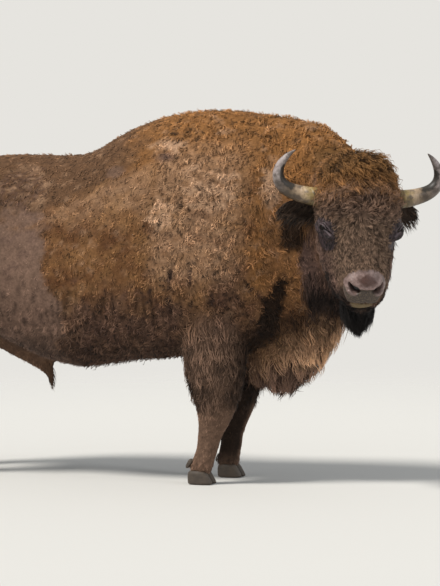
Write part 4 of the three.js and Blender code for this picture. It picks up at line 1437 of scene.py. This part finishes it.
def horn_material():
    """Horn sheath, keratin: pinkish and olive near the head, mottled dark in the bend, pale worn tip, with
    painted shade on its underside.
    """
    made, tree, shader = new_material("horn_sheath", Specular_IOR_Level=0.45)
    place = add(tree, "TexCoord").outputs["Object"]
    local = add(tree, "Mapping", {"Vector": place, "Location": tuple(-from_head(np.zeros(3)))})
    away = add(tree, "VectorMath", {0: local}, operation="LENGTH").outputs["Value"]
    fibre, blotch = (
        add(tree, "TexNoise", {"Vector": place, "Scale": SCALE[name], "Detail": detail, "Roughness": rough})
        for name, detail, rough in (("horn fibres", 5.0, 0.7), ("horn blotches", 4.0, 0.6))
    )
    rings = {"Vector": local, "Scale": SCALE["growth rings"], "Distortion": 6.0, "Detail": 3.0}
    rings = add(tree, "TexWave", rings, wave_type="RINGS", rings_direction="SPHERICAL").outputs["Fac"]
    reach = add(tree, "Math", {0: fibre, 1: 0.08, 2: away}, operation="MULTIPLY_ADD")
    ramp = add(tree, "ValToRGB", {0: add(tree, "MapRange", {0: reach, 1: 0.22, 2: 0.48})})
    stops = ramp.color_ramp.elements
    for position, _ in HORN_COLOURS[1:-1]:
        stops.new(position)
    for stop, (_, code) in zip(stops, HORN_COLOURS):
        stop.color = (*linear(code), 1)
    below, bend = (add(tree, "Attribute", attribute_name=name).outputs["Fac"] for name in ("under", "bend"))
    bend = add(tree, "Math", {0: bend, 1: fibre}, operation="MULTIPLY")
    colour = painted(tree, ramp, (
        (add(tree, "MapRange", {0: blotch, 1: 0.47, 2: 0.60, 4: 0.8}), "3f342c"),
        # Painted shade on the underside.
        (add(tree, "Math", {0: below, 1: 0.7}, operation="MULTIPLY"), "46382a"),
        (add(tree, "MapRange", {0: bend, 1: 0.20, 2: 0.36, 4: 0.95}), "1e1912"),
    ))
    streak = add(tree, "MapRange", {0: fibre, 1: 0.3, 2: 0.7, 3: 0.5, 4: 1.4})
    fade = add(tree, "MapRange", {0: away, 1: 0.34, 2: 0.22})
    height = add(tree, "Math", {0: rings, 1: fade}, operation="MULTIPLY")
    wire(tree, shader, {
        "Base Color": add(tree, "VectorMath", {0: colour, "Scale": streak}, operation="SCALE"),
        "Roughness": add(tree, "MapRange", {0: fibre, 3: 0.34, 4: 0.6}),
        "Normal": add(tree, "Bump", {"Height": height, "Strength": 0.8, "Distance": 2.5 * MM}),
    })
    return made


def hoof_material():
    """Hoof horn: dark, satin, with growth lines round the wall."""
    made, tree, shader = new_material("hoof_horn", Specular_IOR_Level=0.4)
    place = add(tree, "TexCoord").outputs["Object"]
    noise = add(tree, "TexNoise", {"Vector": place, "Scale": SCALE["hoof mottle"], "Detail": 4.0})
    lines = {"Vector": place, "Scale": SCALE["hoof lines"], "Distortion": 3.0, "Detail": 2.0}
    lines = add(tree, "TexWave", lines, wave_type="BANDS", bands_direction="Z").outputs["Fac"]
    wire(tree, shader, {
        "Base Color": painted(tree, "2a2420", [(noise, "5c5044")]),
        "Roughness": add(tree, "MapRange", {0: noise, 3: 0.42, 4: 0.7}),
        "Normal": add(tree, "Bump", {"Height": lines, "Strength": 0.35, "Distance": 1.0 * MM}),
    })
    return made


def eye_material(side):
    """Eyeball: near-black brown iris with a level pupil under a wet, clear cornea."""
    made, tree, shader = new_material(f"wet_eye_{side}", Roughness=0.35, Specular_IOR_Level=0.10, IOR=1.38,
                                      Coat_Weight=0.22, Coat_Roughness=0.06)
    centre, _, along, up = eye_frame(side)
    place = add(tree, "TexCoord").outputs["Object"]
    local = add(tree, "VectorMath", {0: place, 1: tuple(from_head(centre))}, operation="SUBTRACT")
    s, t = (
        add(tree, "VectorMath", {0: local, 1: axis}, operation="DOT_PRODUCT").outputs["Value"]
        for axis in (tuple(HEAD_AXES @ along), tuple(HEAD_AXES @ up))
    )
    flat = add(tree, "CombineXYZ", {0: s, 1: t})
    wide = add(tree, "VectorMath", {0: flat, 1: (0.55, 1.0, 1.0)}, operation="MULTIPLY")
    radius, slot = (
        add(tree, "VectorMath", {0: shape}, operation="LENGTH").outputs["Value"] for shape in (flat, wide)
    )
    colour = painted(tree, "080403", (
        (add(tree, "TexNoise", {"Vector": local, "Scale": SCALE["iris streaks"], "Detail": 2.0}), "150d09"),
        (add(tree, "MapRange", {0: radius, 1: 13.5 * MM, 2: 15.5 * MM}), "0e0a0a"),
        (add(tree, "MapRange", {0: slot, 1: 3.6 * MM, 2: 3.0 * MM}), "020202"),
    ))
    wire(tree, shader, {"Base Color": colour})
    return made


def eyeball(side):
    """A sphere with the cornea's low bulge in front."""
    centre, out = eye_frame(side)[:2]
    bulge, reach = 0.055, 42  # the share of the radius that the cornea rises, and its edge in degrees
    bm = bmesh.new()
    bmesh.ops.create_uvsphere(bm, u_segments=40, v_segments=24, radius=EYE_RADIUS)
    for vertex in bm.verts:
        p = np.array(vertex.co)
        turn = math.degrees(math.acos(np.clip(unit(p) @ out, -1, 1)))
        vertex.co = p * (1 + bulge * bell(turn, reach))
    points = from_head(np.array([vertex.co[:] for vertex in bm.verts]) + centre)
    for vertex, place in zip(bm.verts, points):
        vertex.co = place
    bmesh.ops.recalc_face_normals(bm, faces=bm.faces)
    mesh = new_mesh(f"eyeball_{side}", bm)
    mesh.shade_smooth()
    mesh.materials.append(eye_material(side))
    return new_piece(f"eyeball_{side}", mesh, [f"eye_{side}"])


# ---------------------------------------------------------------- stage


def stage_floor(settings):
    """A pale disc that takes the shadow and fades into the background at its edge."""
    bm = bmesh.new()
    bmesh.ops.create_circle(bm, cap_ends=True, segments=96, radius=settings.floor_radius)
    bmesh.ops.translate(bm, verts=bm.verts, vec=(0, 0, -0.5 * MM))
    mesh = new_mesh("studio_floor", bm)
    made, tree, shader = new_material("studio_paper", Roughness=0.95, Specular_IOR_Level=0.1)
    wire(tree, shader, {"Base Color": (*settings.paper, 1)})
    place = add(tree, "TexCoord").outputs["Object"]
    away = add(tree, "VectorMath", {0: place}, operation="LENGTH").outputs["Value"]
    fade = {0: away, 1: settings.floor_radius * 0.30, 2: settings.floor_radius * 0.95}
    fade = add(tree, "MapRange", fade, interpolation_type="SMOOTHSTEP")
    mixed = add(tree, "MixShader", {0: fade, 1: shader, 2: add(tree, "BsdfTransparent")})
    wire(tree, tree.nodes["Material Output"], {"Surface": mixed})
    mesh.materials.append(made)
    new_object("studio_floor", mesh)


def studio_world(settings):
    """Even light from all round; the camera and reflections see plain pale paper."""
    world = bpy.data.worlds.new("studio")
    bpy.context.scene.world = world
    world.use_nodes = True
    tree = world.node_tree
    tree.nodes.clear()
    ray = add(tree, "LightPath").outputs
    seen = add(tree, "Math", {0: ray["Is Camera Ray"], 1: ray["Is Glossy Ray"]}, operation="MAXIMUM")
    seen = add(tree, "Math", {0: seen, 1: ray["Is Transmission Ray"]}, operation="MAXIMUM")
    sky = add(tree, "Background", {"Color": (0.90, 0.95, 1.0, 1), "Strength": settings.sky})
    paper = add(tree, "Background", {"Color": (*settings.backdrop, 1), "Strength": 1.0})
    add(tree, "OutputWorld", {"Surface": add(tree, "MixShader", {0: seen, 1: sky, 2: paper})})


def aimed(name, data, look):
    """Links a lamp or the camera so that it looks along a direction."""
    made = new_object(name, data)
    made.rotation_mode = "QUATERNION"
    made.rotation_quaternion = look.to_track_quat("-Z", "Y")
    return made


def sunlamp(name, bearing, height, strength, colour):
    """A wide, far lamp at a bearing from square to the bull's right side, and a height above level."""
    lamp = bpy.data.lights.new(name, "SUN")
    lamp.energy = strength
    lamp.angle = math.radians(16)
    lamp.color = colour
    level = math.cos(height)
    towards = Vector((math.sin(bearing) * level, -math.cos(bearing) * level, math.sin(height)))
    aimed(name, lamp, -towards)


def stage_camera(settings):
    """A long lens at standing height, off the bull's right side and a little ahead of it."""
    camera = bpy.data.cameras.new("camera")
    camera.sensor_width = 36
    camera.lens = settings.lens
    camera.clip_end = 200
    bearing, drop = settings.bearing, settings.drop
    away = Vector((math.sin(bearing), -math.cos(bearing), 0))
    look = Vector((-away.x * math.cos(drop), -away.y * math.cos(drop), -math.sin(drop)))
    made = aimed("camera", camera, look)
    made.location = GROUND + away * settings.distance + Vector((0, 0, settings.height))
    bpy.context.scene.camera = made


# ---------------------------------------------------------------- settings


def colour_property(name, code, description):
    return bpy.props.FloatVectorProperty(name=name, description=description, subtype="COLOR", size=3,
                                         min=0, max=1, default=linear(code))


class WisentPalette(bpy.types.PropertyGroup):
    """Colours of the coat, by place."""

    barrel: colour_property("Barrel", "67442a", "Middle of the side")
    barrel_pale: colour_property("Barrel, pale", "8f6741", "Paler lumps of the side")
    rust: colour_property("Hump", "98693c", "Hump, neck and shoulder")
    loin: colour_property("Loin", "6c4f38", "Back and hips")
    flank: colour_property("Flank", "836858", "Short hair of the flank")
    tan: colour_property("Curls", "c19a7a", "Sun-bleached woolly curls")
    olive: colour_property("Nape", "6c4e2d", "Nape behind the poll")
    face: colour_property("Face", "77604f", "Face")
    mop: colour_property("Mop", "845c36", "Hair between the horns")
    leg: colour_property("Legs", "745b4b", "Outer sides of the legs")
    # Dark also carries painted shade: on the lower side, in the folds and on the lower neck.
    dark: colour_property("Dark", "664f46", "Forehead, cheeks and lower side")
    # Black also carries painted shade: on the legs' inner sides, in the armpits, folds and the gap before
    # each foreleg, under the ears and under the belly.
    black: colour_property("Black", "0e0a09", "Beard, ears, belly, inner legs and tail tuft")


class WisentShape(bpy.types.PropertyGroup):
    """Sizes of the skin and the amount of coat."""

    voxel: bpy.props.FloatProperty(name="Skin cell", description="Edge of the skin's even faces",
                                   default=0.0165, min=0.008, max=0.03, subtype="DISTANCE", unit="LENGTH")
    fullness: bpy.props.FloatProperty(name="Fullness", description="Share of the coat's tufts that are made",
                                      default=1.0, min=0.05, max=1.2, subtype="FACTOR")


class WisentStage(bpy.types.PropertyGroup):
    """Camera, lamps and paper."""

    distance: bpy.props.FloatProperty(name="Distance", description="Camera to the withers, level",
                                      default=12.0, subtype="DISTANCE", unit="LENGTH")
    height: bpy.props.FloatProperty(name="Height", description="Camera above the ground",
                                    default=1.35, subtype="DISTANCE", unit="LENGTH")
    bearing: bpy.props.FloatProperty(name="Bearing", description="Turn ahead of square to the bull's side",
                                     default=math.radians(19), subtype="ANGLE", unit="ROTATION")
    drop: bpy.props.FloatProperty(name="Drop", description="Tilt of the camera below level",
                                  default=math.radians(2.206), subtype="ANGLE", unit="ROTATION")
    lens: bpy.props.FloatProperty(name="Lens", description="Focal length in millimetres", default=156.28)
    floor_radius: bpy.props.FloatProperty(name="Floor", description="Radius of the paper floor",
                                          default=9.0, subtype="DISTANCE", unit="LENGTH")
    sky: bpy.props.FloatProperty(name="Sky", description="Strength of the light all round", default=0.44)
    key: bpy.props.FloatProperty(name="Key lamp", description="Strength of the main lamp", default=3.0)
    fill: bpy.props.FloatProperty(name="Fill lamp", description="Strength of the second lamp", default=0.5)
    paper: colour_property("Paper", "d8d6d1", "Floor paper")
    backdrop: colour_property("Backdrop", "e6e4df", "What is seen behind the model")


# ---------------------------------------------------------------- operators


class WISENT_OT_stage(bpy.types.Operator):
    """Sets up the paper floor, the even light and the camera"""

    bl_idname = "wisent.stage"
    bl_label = "Stage"

    def execute(self, context):
        settings = context.scene.wisent_stage
        stage_camera(settings)
        stage_floor(settings)
        studio_world(settings)
        for name, turn, height, strength, colour in (
            ("key", -60, 54, settings.key, (1.0, 0.97, 0.92)),
            ("fill", 60, 28, settings.fill, (0.95, 0.97, 1.0)),
        ):
            sunlamp(name, settings.bearing + math.radians(turn), math.radians(height), strength, colour)
        return {"FINISHED"}


class WISENT_OT_skin(bpy.types.Operator):
    """Makes the one skin that stands for all the flesh"""

    bl_idname = "wisent.skin"
    bl_label = "Skin"

    def execute(self, context):
        mesh, shares = bare_skin(context.scene.wisent_shape.voxel)
        for name, values in by_zone(shares).items():
            store(mesh, "zone_" + name, values)
        underfur = underfur_material(context.scene.wisent_palette)
        for material in (underfur, nose_material(), hollow_material()):
            mesh.materials.append(material)
        unwrap(new_piece(SKIN, mesh, FLESH))
        paint_skin(mesh, shares)
        return {"FINISHED"}


class WISENT_OT_coat(bpy.types.Operator):
    """Covers the skin with short tufts that follow the lie of the coat"""

    bl_idname = "wisent.coat"
    bl_label = "Short coat"

    def execute(self, context):
        hide, shares = hide_of(bpy.data.objects[SKIN])
        material = hair_material(context.scene.wisent_palette)
        fullness = context.scene.wisent_shape.fullness
        centre = hide.centre(hide.points)
        area = area_of_faces(centre, hide.centre(shares), hide.centre(hide.values["flank"]))
        bare = hide.centre(bare_of(muzzle_parts(in_head(hide.points), shares)))
        growth = np.where(np.isin(area, ("face", "mop")), growth_on_head(centre, bare), 1.0)
        headed = np.isin(area, ("face", "mop", "ears"))
        across = np.where(headed, in_head(centre)[:, 1], centre[:, 1] - GROUND.y)
        rng = np.random.default_rng(SEED)
        for name, (count, rings, turns, per_lock) in SHORT_COAT.items():
            for side, way in SIDES.items():
                weight = growth * (area == name) * (across * way > 0)
                roots = tufts_at(hide, weight, int(count * fullness), rng, turns, per_lock)
                spikes(f"coat_{name}_{side}", roots, rings, material)
        return {"FINISHED"}


class WISENT_OT_locks(bpy.types.Operator):
    """Hangs the long hair of beard, cheeks, mane, forelegs, ears, tail and belly"""

    bl_idname = "wisent.locks"
    bl_label = "Long hair"

    def execute(self, context):
        hide, shares = hide_of(bpy.data.objects[SKIN])
        material = bpy.data.materials["wisent_hair"]
        envelope = search_tree(fused(FLESH, ENVELOPE_VOXEL))
        growth = long_growth(hide.points, hide.normals, shares)
        parts = muzzle_parts(in_head(hide.points), shares)
        clear = hide.centre(bare_of(parts)) < 0.3
        rng = np.random.default_rng(SEED + 1)
        for name, row in LONG_COAT.items():
            weight = hide.centre(growth[name]) * clear
            kind = dict(zip(LONG_KEYS, row))
            roots = long_locks(hide, weight * (weight > LEAST_GROWTH), kind, envelope, rng)
            spikes(f"locks_{name}", roots, LOCK_RINGS, material)
        return {"FINISHED"}


class WISENT_OT_horns(bpy.types.Operator):
    """Makes both horns"""

    bl_idname = "wisent.horns"
    bl_label = "Horns"

    def execute(self, context):
        material = horn_material()
        for side in SIDES:
            smooth_copy(f"horn_{side}", f"horn_sheath_{side}", 2, material, rooted)
        return {"FINISHED"}


class WISENT_OT_hooves(bpy.types.Operator):
    """Makes the hooves and dewclaws"""

    bl_idname = "wisent.hooves"
    bl_label = "Hooves"

    def execute(self, context):
        material = hoof_material()
        for node in sorted(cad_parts):
            if "_hoof_" in node or "_dewclaw_" in node:
                smooth_copy(node, f"{node}_horn", 2, material)
        return {"FINISHED"}


class WISENT_OT_eyes(bpy.types.Operator):
    """Makes both eyeballs"""

    bl_idname = "wisent.eyes"
    bl_label = "Eyes"

    def execute(self, context):
        for side in SIDES:
            eyeball(side)
        return {"FINISHED"}


class WISENT_PT_panel(bpy.types.Panel):
    """Lists the model's pieces and its settings"""

    bl_idname = "WISENT_PT_panel"
    bl_label = "Wisent"
    bl_space_type = "VIEW_3D"
    bl_region_type = "UI"
    bl_category = "Wisent"

    def draw(self, context):
        for operator in OPERATORS:
            self.layout.operator(operator.bl_idname)
        for name, group in GROUPS.items():
            box = self.layout.box()
            for key in group.__annotations__:
                box.prop(getattr(context.scene, name), key)


GROUPS = {"wisent_palette": WisentPalette, "wisent_shape": WisentShape, "wisent_stage": WisentStage}
OPERATORS = (
    WISENT_OT_stage,
    WISENT_OT_skin,
    WISENT_OT_coat,
    WISENT_OT_locks,
    WISENT_OT_horns,
    WISENT_OT_hooves,
    WISENT_OT_eyes,
)


def register():
    for group in GROUPS.values():
        bpy.utils.register_class(group)
    for name, group in GROUPS.items():
        setattr(bpy.types.Scene, name, bpy.props.PointerProperty(type=group))
    for item in (*OPERATORS, WISENT_PT_panel):
        bpy.utils.register_class(item)


def unregister():
    for item in (WISENT_PT_panel, *reversed(OPERATORS)):
        bpy.utils.unregister_class(item)
    for name, group in GROUPS.items():
        delattr(bpy.types.Scene, name)
        bpy.utils.unregister_class(group)


def main():
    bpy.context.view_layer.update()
    register()
    bpy.context.scene.view_settings.view_transform = "Standard"
    for operator in OPERATORS:
        group, name = operator.bl_idname.split(".")
        getattr(getattr(bpy.ops, group), name)()


if __name__ == "__main__":
    main()
